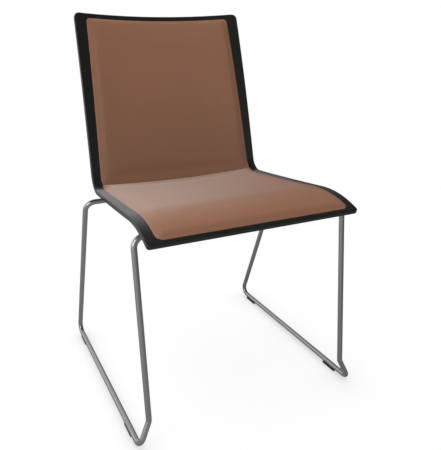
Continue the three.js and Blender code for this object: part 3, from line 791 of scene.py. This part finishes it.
class RodBender:
    """Draws a ring along straight runs and round bends, as a rod is bent."""

    def __init__(self, start, heading, radius, sides):
        self.bm = bmesh.new()
        self.drawn = self.bm.verts.layers.float_vector.new("drawn")
        place = facing(start, heading)
        made = bmesh.ops.create_circle(self.bm, cap_ends=False, segments=sides, radius=radius, matrix=place)
        self.ring = made["verts"]
        self.centre, self.heading, self.length = start.copy(), heading.copy(), 0
        for vert in self.ring:
            local = place.inverted() @ vert.co
            vert[self.drawn] = (local.x, local.y, 0)

    def stamp(self, made, advance):
        """Takes the new end's vertices as the ring, and writes their length along the rod on them."""
        self.ring = [v for v in made if isinstance(v, bmesh.types.BMVert)]
        self.length += advance
        for vert in self.ring:
            x, y, _ = vert[self.drawn]
            vert[self.drawn] = (x, y, self.length)

    def run_to(self, point):
        distance = (point - self.centre).length
        if distance < CLEARANCE / 10:
            return
        made = bmesh.ops.extrude_edge_only(self.bm, edges=ring_edges(self.bm, self.ring))
        self.stamp(made["geom"], distance)
        bmesh.ops.translate(self.bm, verts=self.ring, vec=self.heading * distance)
        self.centre = point.copy()

    def bend(self, leaving, radius):
        """Turns the heading into the leaving direction."""
        angle = self.heading.angle(leaving)
        axis = self.heading.cross(leaving).normalized()
        hub = self.centre + axis.cross(self.heading) * radius
        steps = max(2, math.ceil(angle / BEND_STEP))
        for _ in range(steps):
            made = bmesh.ops.spin(
                self.bm, geom=ring_edges(self.bm, self.ring), cent=hub, axis=axis, dvec=(0, 0, 0),
                angle=angle / steps, steps=1, use_merge=False,
            )
            self.stamp(made["geom_last"], radius * angle / steps)
        turn = Matrix.Rotation(angle, 3, axis)
        self.centre = hub + turn @ (self.centre - hub)
        self.heading = leaving.copy()


def weld_ring(bm, centre, heading, radius, sides):
    """The dressed butt weld that closes a rod: a low bead all round it."""
    bead = radius * JOINT_BEAD_SIZE
    out = Matrix.Translation((radius - bead * JOINT_BEAD_SINK, 0, 0))
    place = facing(centre, heading) @ (out @ Matrix.Rotation(math.pi / 2, 4, "X"))
    made = bmesh.ops.create_circle(bm, cap_ends=False, segments=10, radius=bead, matrix=place)
    spin_round(bm, ring_edges(bm, made["verts"]), centre, heading, sides)


def rod_bmesh(sign, sizes, radius):
    """A closed rod of a radius, all the way along one side's centreline."""
    corners = rod_corners(sign, sizes)
    points = [point for point, _ in corners]
    headings = [(b - a).normalized() for a, b in zip(points, points[1:])]
    gap = headings[0] * CLEARANCE / 2
    rod = RodBender(points[0] + gap, headings[0], radius, sizes.rod_sides)
    cap_start = ring_edges(rod.bm, rod.ring)
    for (corner, bend_radius), arriving, leaving in zip(corners[1:-1], headings, headings[1:]):
        setback = bend_radius * math.tan(arriving.angle(leaving) / 2)
        rod.run_to(corner - arriving * setback)
        rod.bend(leaving, bend_radius)
    rod.run_to(points[-1] - headings[-1] * CLEARANCE / 2)
    bmesh.ops.contextual_create(rod.bm, geom=cap_start)
    bmesh.ops.contextual_create(rod.bm, geom=ring_edges(rod.bm, rod.ring))
    close_mesh(rod.bm)
    return rod.bm


class CHAIR_OT_rods(bpy.types.Operator):
    """Bend the two side rods"""

    bl_idname = "visitor_chair.rods"
    bl_label = "Side rods"

    def execute(self, context):
        sizes = context.scene.visitor_chair.frame
        radius = sizes.rod_diameter / 2
        for side, sign in SIDES.items():
            bm = rod_bmesh(sign, sizes, radius)
            (joint, _), (bend, _) = rod_corners(sign, sizes)[:2]
            weld_ring(bm, joint, (bend - joint).normalized(), radius, sizes.rod_sides)
            bmesh.ops.recalc_face_normals(bm, faces=bm.faces[:])
            rod = piece_from(bm, f"{side}_bent_rod", shared_steel(sizes), 50)
            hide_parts(f"{side}_side_rod")
        return {"FINISHED"}


# Shell

SHELL_STEP = 0.004
SHELL_COLUMNS = 84
EDGE_COLUMNS = 7
CORNER_ROWS = 9
EDGE_COSINE = 0.97  # a vertex is on the edge if the cosine between its normal and a face's is less
GROOVE_CLEARANCE = 0.0001  # round a rod where it lies in the shell's underside


def shell_bmesh(sizes):
    """The bare moulding: a sheet of even wall with rounded edges and corners."""
    corners = (sizes.front_corner, sizes.top_corner)
    reaches = stations(0, SIDE_LENGTH, (max(corners),) * 2, CORNER_ROWS, SHELL_STEP)
    zone = max(sizes.edge_radius, sizes.underside_radius)

    def place(row, column, upper):
        reach = reaches[row]
        end = min(reach, SIDE_LENGTH - reach)
        corner = corners[0] if end == reach else corners[1]
        full = shell_half(reach)
        x = line_across(column, SHELL_COLUMNS, EDGE_COLUMNS, narrowed(full, corner, end), zone)
        side = full - abs(x)
        depth = min(end, side)
        if end < corner and side < corner:
            depth = corner - math.hypot(corner - end, corner - side)
        depth = max(0, depth)
        if upper:
            return face_point(reach, x, -rounding(depth, sizes.edge_radius))
        wall = mix(sizes.front_thickness, sizes.thickness, reach / WATERFALL_END)
        return face_point(reach, x, rounding(depth, sizes.underside_radius) - wall)

    return grid_slab(len(reaches) - 1, SHELL_COLUMNS, place)


def underside_height(x, y, wall):
    """Height of the shell's underside above a point below the seat."""
    near, far = 0, CREASE_MIDDLE
    while far - near > CLEARANCE:
        middle = (near + far) / 2
        if face_point(middle, x, -wall).y < y:
            near = middle
        else:
            far = middle
    return face_point(near, x, -wall).z


def frame_screw_places():
    """The frames of the four screws that hold the shell on the bars, by their names."""
    places = {}
    for end, setback in zip(ENDS, BAR_SETBACKS):
        for side, sign in SIDES.items():
            across = Matrix.Translation((sign * FRAME_SCREW_SPACING / 2, 0, 0))
            places[f"{end}_{side}"] = bar_frame(setback) @ across
    return places


def pad_screw_places():
    """The frames of the four screws of the seat pad, by their names."""
    return {
        f"{end}_{side}": face_frame(reach, sign * PAD_SCREW_SPACING / 2)
        for end, reach in zip(ENDS, PAD_SCREW_REACHES)
        for side, sign in SIDES.items()
    }


def clip_places():
    """The frames of the four clips of the back pad."""
    return [
        face_frame(CREASE_END + reach, sign * CLIP_SPACING / 2)
        for reach in CLIP_REACHES
        for sign in SIDES.values()
    ]


def bar_top(sizes):
    """Height of the bars' upper faces, from the middle of the rods."""
    return -sizes.rod_diameter / 2 - CLEARANCE


def add_bosses(shell, sizes, rods):
    """Conical bosses bored for the brass inserts, screw recesses, and a groove over each rod."""
    foot = bar_top(rods) + CLEARANCE
    bore = INSERT_DIAMETER / 2 + CLEARANCE
    flange_top = foot + INSERT_FLANGE * 2 + CLEARANCE
    cones, bores = bmesh.new(), bmesh.new()
    for place in frame_screw_places().values():
        centre = place.translation
        top = underside_height(centre.x, centre.y, sizes.thickness) - centre.z + BOSS_ROOT
        cylinder(cones, BOSS_DIAMETER / 2, foot, top, place, 48, top_radius=BOSS_TOP_DIAMETER / 2)
        cylinder(bores, bore, foot - OVERRUN, foot + INSERT_LENGTH + CLEARANCE, place)
        cylinder(bores, bore + INSERT_FLANGE, foot - OVERRUN, flange_top, place)
    carve(shell, cones, "UNION")
    recess_top = PAD_SCREW_RECESS - sizes.thickness
    for place in pad_screw_places().values():
        cylinder(bores, PAD_SCREW_HEAD / 2 + CLEARANCE, -sizes.thickness - OVERRUN, recess_top, place)
    for sign in SIDES.values():
        groove = rod_bmesh(sign, rods, rods.rod_diameter / 2 + GROOVE_CLEARANCE)
        groove_mesh = bpy.data.meshes.new("groove")
        groove.to_mesh(groove_mesh)
        groove.free()
        bores.from_mesh(groove_mesh)
        bpy.data.meshes.remove(groove_mesh)
    carve(shell, bores, "DIFFERENCE")


class CHAIR_OT_shell(bpy.types.Operator):
    """Mould the seat and back shell"""

    bl_idname = "visitor_chair.shell"
    bl_label = "Shell"

    def execute(self, context):
        sizes = context.scene.visitor_chair.shell
        bm = shell_bmesh(sizes)
        layer = bm.verts.layers.float.new("edge")
        for vert in bm.verts:
            if any(face.normal.dot(vert.normal) < EDGE_COSINE for face in vert.link_faces):
                vert[layer] = 1
        shell = piece_from(bm, "seat_and_back_shell", shell_material(sizes), 50)
        add_bosses(shell, sizes, context.scene.visitor_chair.frame)
        shell.data.set_sharp_from_angle(angle=math.radians(35))
        shell.visible_glossy = False
        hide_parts("shell")
        return {"FINISHED"}


# Pads

PAD_STEP = 0.008
ROLL_LINES = 11
INNER_COLUMNS = 46
MITRE_POWER = 8  # how crisp the pad's edge lines meet at its corners
CROWN_ZONE = 0.06  # the crown rises to its full height this far from the pad's ends
SWELL_FRAMES = 20
LEATHER_STIFFNESS = 40


class PadPlan:
    """The outline of one pad, and the shape of its rolled edge."""

    def __init__(self, sizes, start, end, rolls, corners):
        self.sizes, self.start, self.end = sizes, start, end
        self.rolls, self.corners = rolls, corners
        self.reaches = stations(start, end, rolls, ROLL_LINES, PAD_STEP)
        self.columns = INNER_COLUMNS + ROLL_LINES * 2

    def at(self, reach):
        """The distance to the pad's nearer end, half the width, and the share of that end's roll."""
        near = 0 if reach - self.start < self.end - reach else 1
        distance = min(reach - self.start, self.end - reach)
        half = narrowed(pad_half(reach), self.corners[near], distance)
        return distance, half, max(0, 1 - distance / self.rolls[near])

    def roll_share(self, reach, x):
        """0 on the pad's face, rising to 1 at its outline, with a mitre at each corner."""
        _, half, end_share = self.at(reach)
        side_share = max(0, 1 - (half - abs(x)) / self.sizes.roll_width)
        return min(1, (end_share**MITRE_POWER + side_share**MITRE_POWER) ** (1 / MITRE_POWER))

    def straight_lift(self, reach):
        """The lift of a face that runs straight on into the crease, where the two pads meet."""
        angle = min(reach - CREASE_START, CREASE_END - reach) / CREASE_RADIUS
        if angle <= 0:
            return self.sizes.height + self.sizes.crown
        return CREASE_RADIUS - (CREASE_RADIUS - self.sizes.height) / math.cos(angle)

    def place(self, row, column, upper):
        sizes = self.sizes
        reach = self.reaches[row]
        distance, half, _ = self.at(reach)
        x = line_across(column, self.columns, ROLL_LINES, half, sizes.roll_width)
        if upper:
            share = self.roll_share(reach, x)
            rounded = 1 - (1 - share**sizes.fullness) ** (1 / sizes.fullness)
            drop = (sizes.height - sizes.side) * mix(rounded, share, sizes.bevel)
            along = math.sin(math.pi / 2 * min(1, distance / CROWN_ZONE))
            crowned = sizes.crown * (1 - (x / half) ** 2) * along
            lift = sizes.height + crowned - drop
            return face_point(reach, x, min(lift, max(sizes.side, self.straight_lift(reach))))
        inset = min(distance, half - abs(x))
        above_board = LAYER_GAP * 2 + BOARD_THICKNESS
        return face_point(reach, x, above_board if inset > RECESS_INSET else LAYER_GAP)


def swell(piece, held, sizes):
    """Lets pressure swell the loose part of a pad, and caps how far each point moves."""
    group = piece.vertex_groups.new(name="held")
    for index, weight in enumerate(held):
        group.add([index], weight, "REPLACE")
    cloth = piece.modifiers.new("swell", "CLOTH").settings
    cloth.vertex_group_mass = "held"
    cloth.use_pressure = True
    cloth.uniform_pressure_force = sizes.pressure
    cloth.effector_weights.gravity = 0
    cloth.tension_stiffness = cloth.compression_stiffness = LEATHER_STIFFNESS
    scene = bpy.context.scene
    for frame_number in range(1, SWELL_FRAMES + 1):
        scene.frame_set(frame_number)
    evaluated = piece.evaluated_get(bpy.context.evaluated_depsgraph_get())
    swollen = [v.co.copy() for v in evaluated.data.vertices]
    piece.modifiers.clear()
    for vertex, co in zip(piece.data.vertices, swollen):
        move = co - vertex.co
        if move.length > 0:
            vertex.co += move.normalized() * sizes.swell * math.tanh(move.length / sizes.swell)
    piece.vertex_groups.clear()
    scene.frame_set(1)


def board_bmesh(plan):
    """The bent board under one pad: a sheet of even thickness with rounded corners."""
    start, end, corner = plan.start + BOARD_INSET, plan.end - BOARD_INSET, BOARD_CORNER_RADIUS
    reaches = stations(start, end, (corner,) * 2, CORNER_ROWS, PAD_STEP)

    def place(row, column, upper):
        reach = reaches[row]
        half = narrowed(pad_half(reach) - BOARD_INSET, corner, min(reach - start, end - reach))
        x = line_across(column, INNER_COLUMNS, EDGE_COLUMNS, half, corner)
        return face_point(reach, x, LAYER_GAP + (BOARD_THICKNESS if upper else 0))

    return grid_slab(len(reaches) - 1, INNER_COLUMNS, place)


def make_board(name, plan, node, places, fastener):
    """A board with a hole for each fastener of a diameter that passes through it."""
    board = piece_from(board_bmesh(plan), name, shared_plywood())
    holes = bmesh.new()
    top = LAYER_GAP + BOARD_THICKNESS + OVERRUN
    for place in places:
        cylinder(holes, fastener / 2 + CLEARANCE, -OVERRUN, top, place)
    carve(board, holes, "DIFFERENCE")
    board.visible_glossy = False
    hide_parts(node)


def make_pad(name, plan, material, nodes):
    """A leather pad: its rolled form with the recess for its board, and its swell."""
    held, edges = [], []

    def place(row, column, upper):
        point = plan.place(row, column, upper)
        share = plan.roll_share(plan.reaches[row], point.x)
        held.append(share if upper else 1.0)
        # The edge value peaks halfway down the roll; it drives the leather's painted shade and its wear.
        edges.append(math.sin(math.pi * share) if upper else 0.0)
        return point

    bm = grid_slab(len(plan.reaches) - 1, plan.columns, place)
    layer = bm.verts.layers.float.new("edge")
    for vert, edge in zip(bm.verts, edges):
        vert[layer] = edge
    pad = piece_from(bm, name, material, 60)
    swell(pad, held, plan.sizes)
    finer = pad.modifiers.new("finer", "SUBSURF")
    finer.levels = finer.render_levels = 1
    pad.visible_glossy = False
    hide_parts(*nodes)


class CHAIR_OT_pads(bpy.types.Operator):
    """Upholster the seat pad and the back pad on their boards"""

    bl_idname = "visitor_chair.pads"
    bl_label = "Leather pads"

    def execute(self, context):
        sizes = context.scene.visitor_chair.pads
        leather = leather_material(sizes)
        seat = PadPlan(
            sizes,
            SEAT_FRONT_MARGIN,
            CREASE_MIDDLE - LAYER_GAP / 2,
            (sizes.roll_width, sizes.crease_roll),
            (FRONT_CORNER_RADIUS, CREASE_CORNER_RADIUS),
        )
        back = PadPlan(
            sizes,
            CREASE_MIDDLE + LAYER_GAP / 2,
            SIDE_LENGTH - BACK_TOP_MARGIN,
            (sizes.crease_roll, sizes.top_roll),
            (CREASE_CORNER_RADIUS, TOP_CORNER_RADIUS),
        )
        make_pad("seat_pad", seat, leather, ("seat_cover", "seat_foam"))
        make_pad("back_pad", back, leather, ("back_cover", "back_foam"))
        make_board("bent_seat_board", seat, "seat_board", pad_screw_places().values(), TEE_NUT_BARREL)
        make_board("bent_back_board", back, "back_board", clip_places(), CLIP_STEM)
        return {"FINISHED"}


# Cross bars

BEAD_RIPPLES = 11
BEAD_LENGTH = BAR_WIDTH * 2 / 3
RIPPLE_SHAPE = (1, 0.62, 0.8, 1)


def bar_bmesh(place, sizes):
    """A flat bar with rounded corners and dressed edges."""
    bm = bmesh.new()
    length = (RUN_REACH + sizes.rod_diameter / 2 + BAR_OVERHANG) * 2
    middle = Matrix.Translation((0, 0, bar_top(sizes) - BAR_THICKNESS / 2))
    size = Matrix.Diagonal((length, BAR_WIDTH, BAR_THICKNESS, 1))
    bmesh.ops.create_cube(bm, size=1, matrix=middle @ size)
    upright = [e for e in bm.edges if abs(e.verts[0].co.z - e.verts[1].co.z) > CLEARANCE]
    bevel(bm, upright, BAR_CORNER_RADIUS, 8)
    bevel(bm, sharp_edges(bm, 60), BAR_EDGE_RADIUS, 3)
    bmesh.ops.transform(bm, matrix=place, verts=bm.verts[:])
    return bm


def add_weld_beads(bm, place, sizes):
    """Each bead is a row of overlapping ripples beside a rod."""
    ripple = Matrix.Diagonal(RIPPLE_SHAPE)
    for sign in SIDES.values():
        for flank in SIDES.values():
            x = sign * RUN_REACH + flank * sizes.rod_diameter / 2
            for i in range(BEAD_RIPPLES):
                y = BEAD_LENGTH * (i / (BEAD_RIPPLES - 1) - 0.5)
                spot = place @ Matrix.Translation((x, y, bar_top(sizes) + CLEARANCE))
                bmesh.ops.create_icosphere(bm, subdivisions=2, radius=sizes.weld_radius, matrix=spot @ ripple)


class CHAIR_OT_bars(bpy.types.Operator):
    """Weld the two cross bars under the rods"""

    bl_idname = "visitor_chair.bars"
    bl_label = "Cross bars"

    def execute(self, context):
        sizes = context.scene.visitor_chair.frame
        steel = shared_steel(sizes)
        low, high = bar_top(sizes) - BAR_THICKNESS - OVERRUN, bar_top(sizes) + OVERRUN
        screws = frame_screw_places()
        for end, setback in zip(ENDS, BAR_SETBACKS):
            place = bar_frame(setback)
            bar = piece_from(bar_bmesh(place, sizes), f"{end}_welded_bar", steel)
            bores = bmesh.new()
            for side in SIDES:
                cylinder(bores, FRAME_SCREW_DIAMETER / 2 + CLEARANCE, low, high, screws[f"{end}_{side}"])
            carve(bar, bores, "DIFFERENCE")
            beads = bmesh.new()
            beads.from_mesh(bar.data)
            add_weld_beads(beads, place, sizes)
            beads.to_mesh(bar.data)
            beads.free()
            smooth(bar, 40)
            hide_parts(f"{end}_cross_bar")
        return {"FINISHED"}


# Glides


def glide_bmesh(x, y):
    """A nylon glide with a bevelled sole and rounded edges."""
    bm = bmesh.new()
    height = SOLE_HEIGHT + GLIDE_WRAP
    size = Matrix.Diagonal((GLIDE_WIDTH, GLIDE_LENGTH, height, 1))
    bmesh.ops.create_cube(bm, size=1, matrix=Matrix.Translation((x, y, height / 2)) @ size)
    sole_ends = [
        e for e in bm.edges
        if all(abs(v.co.z) < CLEARANCE for v in e.verts)
        and abs(e.verts[0].co.y - e.verts[1].co.y) < CLEARANCE
    ]
    bevel(bm, sole_ends, GLIDE_NOSE, 4)
    bevel(bm, sharp_edges(bm, 30), GLIDE_EDGE_RADIUS, 3)
    return bm


class CHAIR_OT_glides(bpy.types.Operator):
    """Fit the four glides under the runners"""

    bl_idname = "visitor_chair.glides"
    bl_label = "Glides"

    def execute(self, context):
        sizes = context.scene.visitor_chair.frame
        nylon = nylon_material("black_nylon", tuple(sizes.glide), (0.45, 0.65))
        radius = sizes.rod_diameter / 2
        for end, setback in zip(ENDS, GLIDE_SETBACKS):
            for side, sign in SIDES.items():
                x, y = sign * RUNNER_SPACING / 2, setback + FRONT_CORNER
                glide = piece_from(glide_bmesh(x, y), f"{end}_{side}_nylon_glide", nylon)
                groove = bmesh.new()
                axis = Matrix.Translation((x, y, SOLE_HEIGHT + radius))
                lying = axis @ Matrix.Rotation(math.pi / 2, 4, "X")
                cylinder(groove, radius + CLEARANCE, -GLIDE_LENGTH, GLIDE_LENGTH, lying, 48)
                carve(glide, groove, "DIFFERENCE")
                glide.data.set_sharp_from_angle(angle=math.radians(40))
                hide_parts(f"{end}_{side}_glide")
        return {"FINISHED"}


# Screws


def screw_bmesh(diameter, length, head, head_height):
    """A button-head screw that points up from its seat."""
    bm = bmesh.new()
    shank, rim = diameter / 2, head / 2
    outline = [
        (0, -head_height),
        (rim * 0.45, -head_height),
        (rim * 0.75, -head_height * 0.8),
        (rim * 0.94, -head_height * 0.45),
        (rim, -head_height * 0.1),
        (rim, 0),
        (shank, 0),
        (shank, length - shank / 3),
        (shank * 0.67, length),
        (0, length),
    ]
    verts = [bm.verts.new((radius, 0, height)) for radius, height in outline]
    edges = [bm.edges.new(pair) for pair in zip(verts, verts[1:])]
    spin_round(bm, verts + edges, (0, 0, 0), (0, 0, 1), 32)
    close_mesh(bm)
    return bm


def add_screw(name, node, place, seat, diameter, length, head, head_height):
    """A screw on its seat, with a hexagon socket in its head."""
    bm = screw_bmesh(diameter, length, head, head_height)
    seated = place @ Matrix.Translation((0, 0, seat))
    bmesh.ops.transform(bm, matrix=seated, verts=bm.verts[:])
    piece = piece_from(bm, name, shared_zinc())
    socket = bmesh.new()
    cylinder(socket, head / 6, seat - head_height - OVERRUN, seat - head_height * 0.4, place, 6)
    carve(piece, socket, "DIFFERENCE")
    piece.data.set_sharp_from_angle(angle=math.radians(35))
    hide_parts(node)


class CHAIR_OT_screws(bpy.types.Operator):
    """Drive the frame screws and the seat pad's screws"""

    bl_idname = "visitor_chair.screws"
    bl_label = "Screws"

    def execute(self, context):
        chair = context.scene.visitor_chair
        seat = bar_top(chair.frame) - BAR_THICKNESS - CLEARANCE
        head = chair.frame.frame_screw_head
        for name, place in frame_screw_places().items():
            add_screw(
                f"{name}_button_screw", f"{name}_frame_screw", place, seat,
                FRAME_SCREW_DIAMETER, FRAME_SCREW_LENGTH, head, FRAME_SCREW_HEAD_HEIGHT,
            )
        seat = PAD_SCREW_RECESS - chair.shell.thickness - CLEARANCE
        length = LAYER_GAP * 2 + BOARD_THICKNESS + PAD_SCREW_TIP - seat
        for name, place in pad_screw_places().items():
            add_screw(
                f"{name}_pad_fixing", f"{name}_pad_screw", place, seat,
                PAD_SCREW_DIAMETER, length, PAD_SCREW_HEAD, PAD_SCREW_HEAD_HEIGHT,
            )
        return {"FINISHED"}


class CHAIR_OT_inner_parts(bpy.types.Operator):
    """Finish the inserts, tee nuts and clips that the frame already holds"""

    bl_idname = "visitor_chair.inner_parts"
    bl_label = "Inner parts"

    def execute(self, context):
        finishes = {
            "insert_brass": plated_material("brass", (0.43, 0.26, 0.06), (0.28, 0.42)),
            "clip": nylon_material("white_nylon", (0.6, 0.58, 0.54), (0.5, 0.65)),
            "screw_steel": shared_zinc(),
        }
        slots = {part["node"]: part["material_slot"] for part in frame["record"]["subparts"]}
        for node, piece in frame["nodes"].items():
            if slots[node] in finishes and not piece.hide_render:
                piece.data.materials.clear()
                piece.data.materials.append(finishes[slots[node]])
                piece.visible_glossy = False
        return {"FINISHED"}


# Stage

CAMERA_ACROSS = -0.50462
CAMERA_SETBACK = -0.85497
CAMERA_HEIGHT = 0.78987
CAMERA_YAW = math.radians(-26.42)
CAMERA_PITCH = math.radians(-19.455)
CAMERA_ROLL = math.radians(-0.123)
FOCAL_PIXELS = 543.42
PICTURE_PIXELS = 450  # along the picture's long side
SENSOR = 36.0  # millimetres
NEAR_CLIP, FAR_CLIP = 0.01, 50

# Each lamp's place, the height it aims at over the origin, its width and height, and whether gloss shows it
LAMPS = {
    "overhead_lamp": ((-0.3, -0.4, 2.4), 0.4, (2.0, 2.0), False),
    "top_lamp": ((-0.7, 0.5, 2.8), 0.45, (1.6, 1.6), False),
    "side_lamp": ((-2.2, -1.2, 1.4), 0.5, (0.5, 1.6), True),
    "rear_lamp": ((-0.6, 2.2, 1.9), 0.45, (1.8, 1.2), False),
}

FLOOR_SIZE = 14.0
FLOOR_SIDES = (-1.0, 0.9)  # along X, between which the floor darkens in reflections
FLOOR_SIDE_SHARES = (1.4, 0.5)  # of the mirrored floor's setting, at those places
FLOOR_SHADE = (0.3, 0.85)  # distances from the origin between which the shade fades out

WHITE_WALL_TOP = (0.58, 0.80)  # sines of the heights between which the white walls fade to the ceiling
FRONT_SIDE = (-0.7, 0.1)  # along Y, between which the room's front turns to its white back
FRONT_FOOT = (0.0, 0.4)  # sines of the heights between which the front darkens
RIGHT_SIDE = (0.2, 0.6)  # along X, between which the room darkens to the right


def floor_material(settings):
    """A pale floor, white to the camera but for a soft shade and a darker painted shade at the glides."""
    material, tree = new_material("studio_floor")
    rays = tree.nodes.new("ShaderNodeLightPath").outputs
    glossy, place = rays["Is Glossy Ray"], object_place(tree)
    matte = add(tree, "ShaderNodeBsdfDiffuse", {"Color": (*settings.floor, 1)})
    # Painted shade: the ambient occlusion node dims the floor's glow close to the runners and glides.
    near = add(tree, "ShaderNodeAmbientOcclusion", {"Distance": settings.contact_reach}, samples=16)
    painted_contact_shade = remap(tree, near.outputs["AO"], settings.contact, 1.0)
    across = add(tree, "ShaderNodeSeparateXYZ", {"Vector": place}).outputs["X"]
    left, right = (settings.mirrored_floor * share for share in FLOOR_SIDE_SHARES)
    strength = mix_value(tree, glossy, painted_contact_shade, remap(tree, across, left, right, FLOOR_SIDES))
    glow = add(tree, "ShaderNodeEmission", {"Color": (1, 1, 1, 1), "Strength": strength})
    distance = add(tree, "ShaderNodeVectorMath", {0: place}, operation="LENGTH").outputs["Value"]
    shaded = ease(tree, distance, settings.shadow, 0.0, FLOOR_SHADE)
    lit = math_node(tree, "MAXIMUM", math_node(tree, "SUBTRACT", 1.0, shaded), glossy)
    seen = math_node(tree, "MAXIMUM", rays["Is Camera Ray"], glossy)
    seen = math_node(tree, "MAXIMUM", seen, rays["Is Transmission Ray"])
    share = times(tree, seen, lit)
    surface = add(tree, "ShaderNodeMixShader", {0: share, 1: matte.outputs[0], 2: glow.outputs[0]})
    add(tree, "ShaderNodeOutputMaterial", {"Surface": surface.outputs[0]})
    return material


def set_world(settings):
    """White to the camera. Gloss shows white walls, with a darker front, right side and ceiling."""
    world = bpy.data.worlds.new("studio")
    bpy.context.scene.world = world
    tree = empty_tree(world)
    direction = tree.nodes.new("ShaderNodeTexCoord").outputs["Generated"]
    axes = add(tree, "ShaderNodeSeparateXYZ", {"Vector": direction}).outputs
    wall = ease(tree, axes["Z"], 1.0, 0.0, WHITE_WALL_TOP)
    front = ease(tree, axes["Z"], settings.horizon, settings.front, FRONT_FOOT)
    rear = ease(tree, axes["Y"], front, 1.0, FRONT_SIDE)
    left = ease(tree, axes["X"], 1.0, settings.right, RIGHT_SIDE)
    lightness = times(tree, times(tree, wall, rear), left)
    mirrored = remap(tree, lightness, settings.ceiling, 1.0)
    rays = tree.nodes.new("ShaderNodeLightPath").outputs
    plain = math_node(tree, "MAXIMUM", rays["Is Camera Ray"], rays["Is Transmission Ray"])
    dimmed = mix_value(tree, rays["Is Glossy Ray"], settings.ambient, mirrored)
    strength = mix_value(tree, plain, dimmed, 1.0)
    room = add(tree, "ShaderNodeBackground", {"Color": (1, 1, 1, 1), "Strength": strength})
    add(tree, "ShaderNodeOutputWorld", {"Surface": room.outputs[0]})


def add_camera():
    """A camera that sees the chair's outlines as the photograph shows them."""
    data = bpy.data.cameras.new("photo_camera")
    data.sensor_width = SENSOR
    data.lens = SENSOR * (FOCAL_PIXELS / PICTURE_PIXELS)
    data.clip_start, data.clip_end = NEAR_CLIP, FAR_CLIP
    camera = bpy.data.objects.new("photo_camera", data)
    place = Matrix.Translation((CAMERA_ACROSS, FRONT_CORNER + CAMERA_SETBACK, CAMERA_HEIGHT))
    turn = (
        Matrix.Rotation(CAMERA_YAW, 4, "Z")
        @ Matrix.Rotation(math.pi / 2 + CAMERA_PITCH, 4, "X")
        @ Matrix.Rotation(CAMERA_ROLL, 4, "Z")
    )
    camera.matrix_world = place @ turn
    bpy.context.scene.collection.objects.link(camera)
    bpy.context.scene.camera = camera


def add_lamp(name, place, aim, size, mirrored, power):
    data = bpy.data.lights.new(name, "AREA")
    data.shape, data.size, data.size_y = "RECTANGLE", size[0], size[1]
    data.energy = power
    lamp = bpy.data.objects.new(name, data)
    lamp.visible_glossy = mirrored
    lamp.location = place
    lamp.rotation_euler = (Vector((0, 0, aim)) - Vector(place)).to_track_quat("-Z", "Y").to_euler()
    bpy.context.scene.collection.objects.link(lamp)


class CHAIR_OT_stage(bpy.types.Operator):
    """Set the floor, the lamps, the room's light and the camera"""

    bl_idname = "visitor_chair.stage"
    bl_label = "Stage"

    def execute(self, context):
        settings = context.scene.visitor_chair.stage
        bm = bmesh.new()
        bmesh.ops.create_grid(bm, x_segments=1, y_segments=1, size=FLOOR_SIZE / 2)
        floor = object_from(bm, "floor")
        floor.data.materials.append(floor_material(settings))
        for name, (place, aim, size, mirrored) in LAMPS.items():
            add_lamp(name, place, aim, size, mirrored, getattr(settings, name))
        set_world(settings)
        add_camera()
        context.scene.view_settings.view_transform = "Standard"
        return {"FINISHED"}


PIECE_OPERATORS = (
    CHAIR_OT_shell,
    CHAIR_OT_pads,
    CHAIR_OT_rods,
    CHAIR_OT_bars,
    CHAIR_OT_glides,
    CHAIR_OT_screws,
    CHAIR_OT_inner_parts,
    CHAIR_OT_stage,
)


class CHAIR_PT_panel(bpy.types.Panel):
    """Lists the chair's pieces and their settings"""

    bl_idname = "CHAIR_PT_panel"
    bl_label = "Visitor Chair"
    bl_space_type = "VIEW_3D"
    bl_region_type = "UI"
    bl_category = "Visitor Chair"

    def draw(self, context):
        chair = context.scene.visitor_chair
        for name in ("shell", "pads", "frame", "stage"):
            settings = getattr(chair, name)
            box = self.layout.box()
            box.label(text=name.capitalize())
            for prop in settings.bl_rna.properties:
                if not prop.is_readonly and prop.identifier != "name":
                    box.prop(settings, prop.identifier)
        for operator in PIECE_OPERATORS:
            self.layout.operator(operator.bl_idname)


SETTINGS = (ShellSettings, PadSettings, FrameSettings, StageSettings, ChairSettings)
CLASSES = (*SETTINGS, *PIECE_OPERATORS, CHAIR_PT_panel)


def register():
    for cls in CLASSES:
        bpy.utils.register_class(cls)
    bpy.types.Scene.visitor_chair = PointerProperty(type=ChairSettings)


def unregister():
    del bpy.types.Scene.visitor_chair
    for cls in reversed(CLASSES):
        bpy.utils.unregister_class(cls)


def main():
    register()
    for make_group in (mottle_group, grain_group, wear_group):
        make_group()
    bpy.ops.visitor_chair.shell()
    bpy.ops.visitor_chair.pads()
    bpy.ops.visitor_chair.rods()
    bpy.ops.visitor_chair.bars()
    bpy.ops.visitor_chair.glides()
    bpy.ops.visitor_chair.screws()
    bpy.ops.visitor_chair.inner_parts()
    bpy.ops.visitor_chair.stage()


if __name__ == "__main__":
    main()
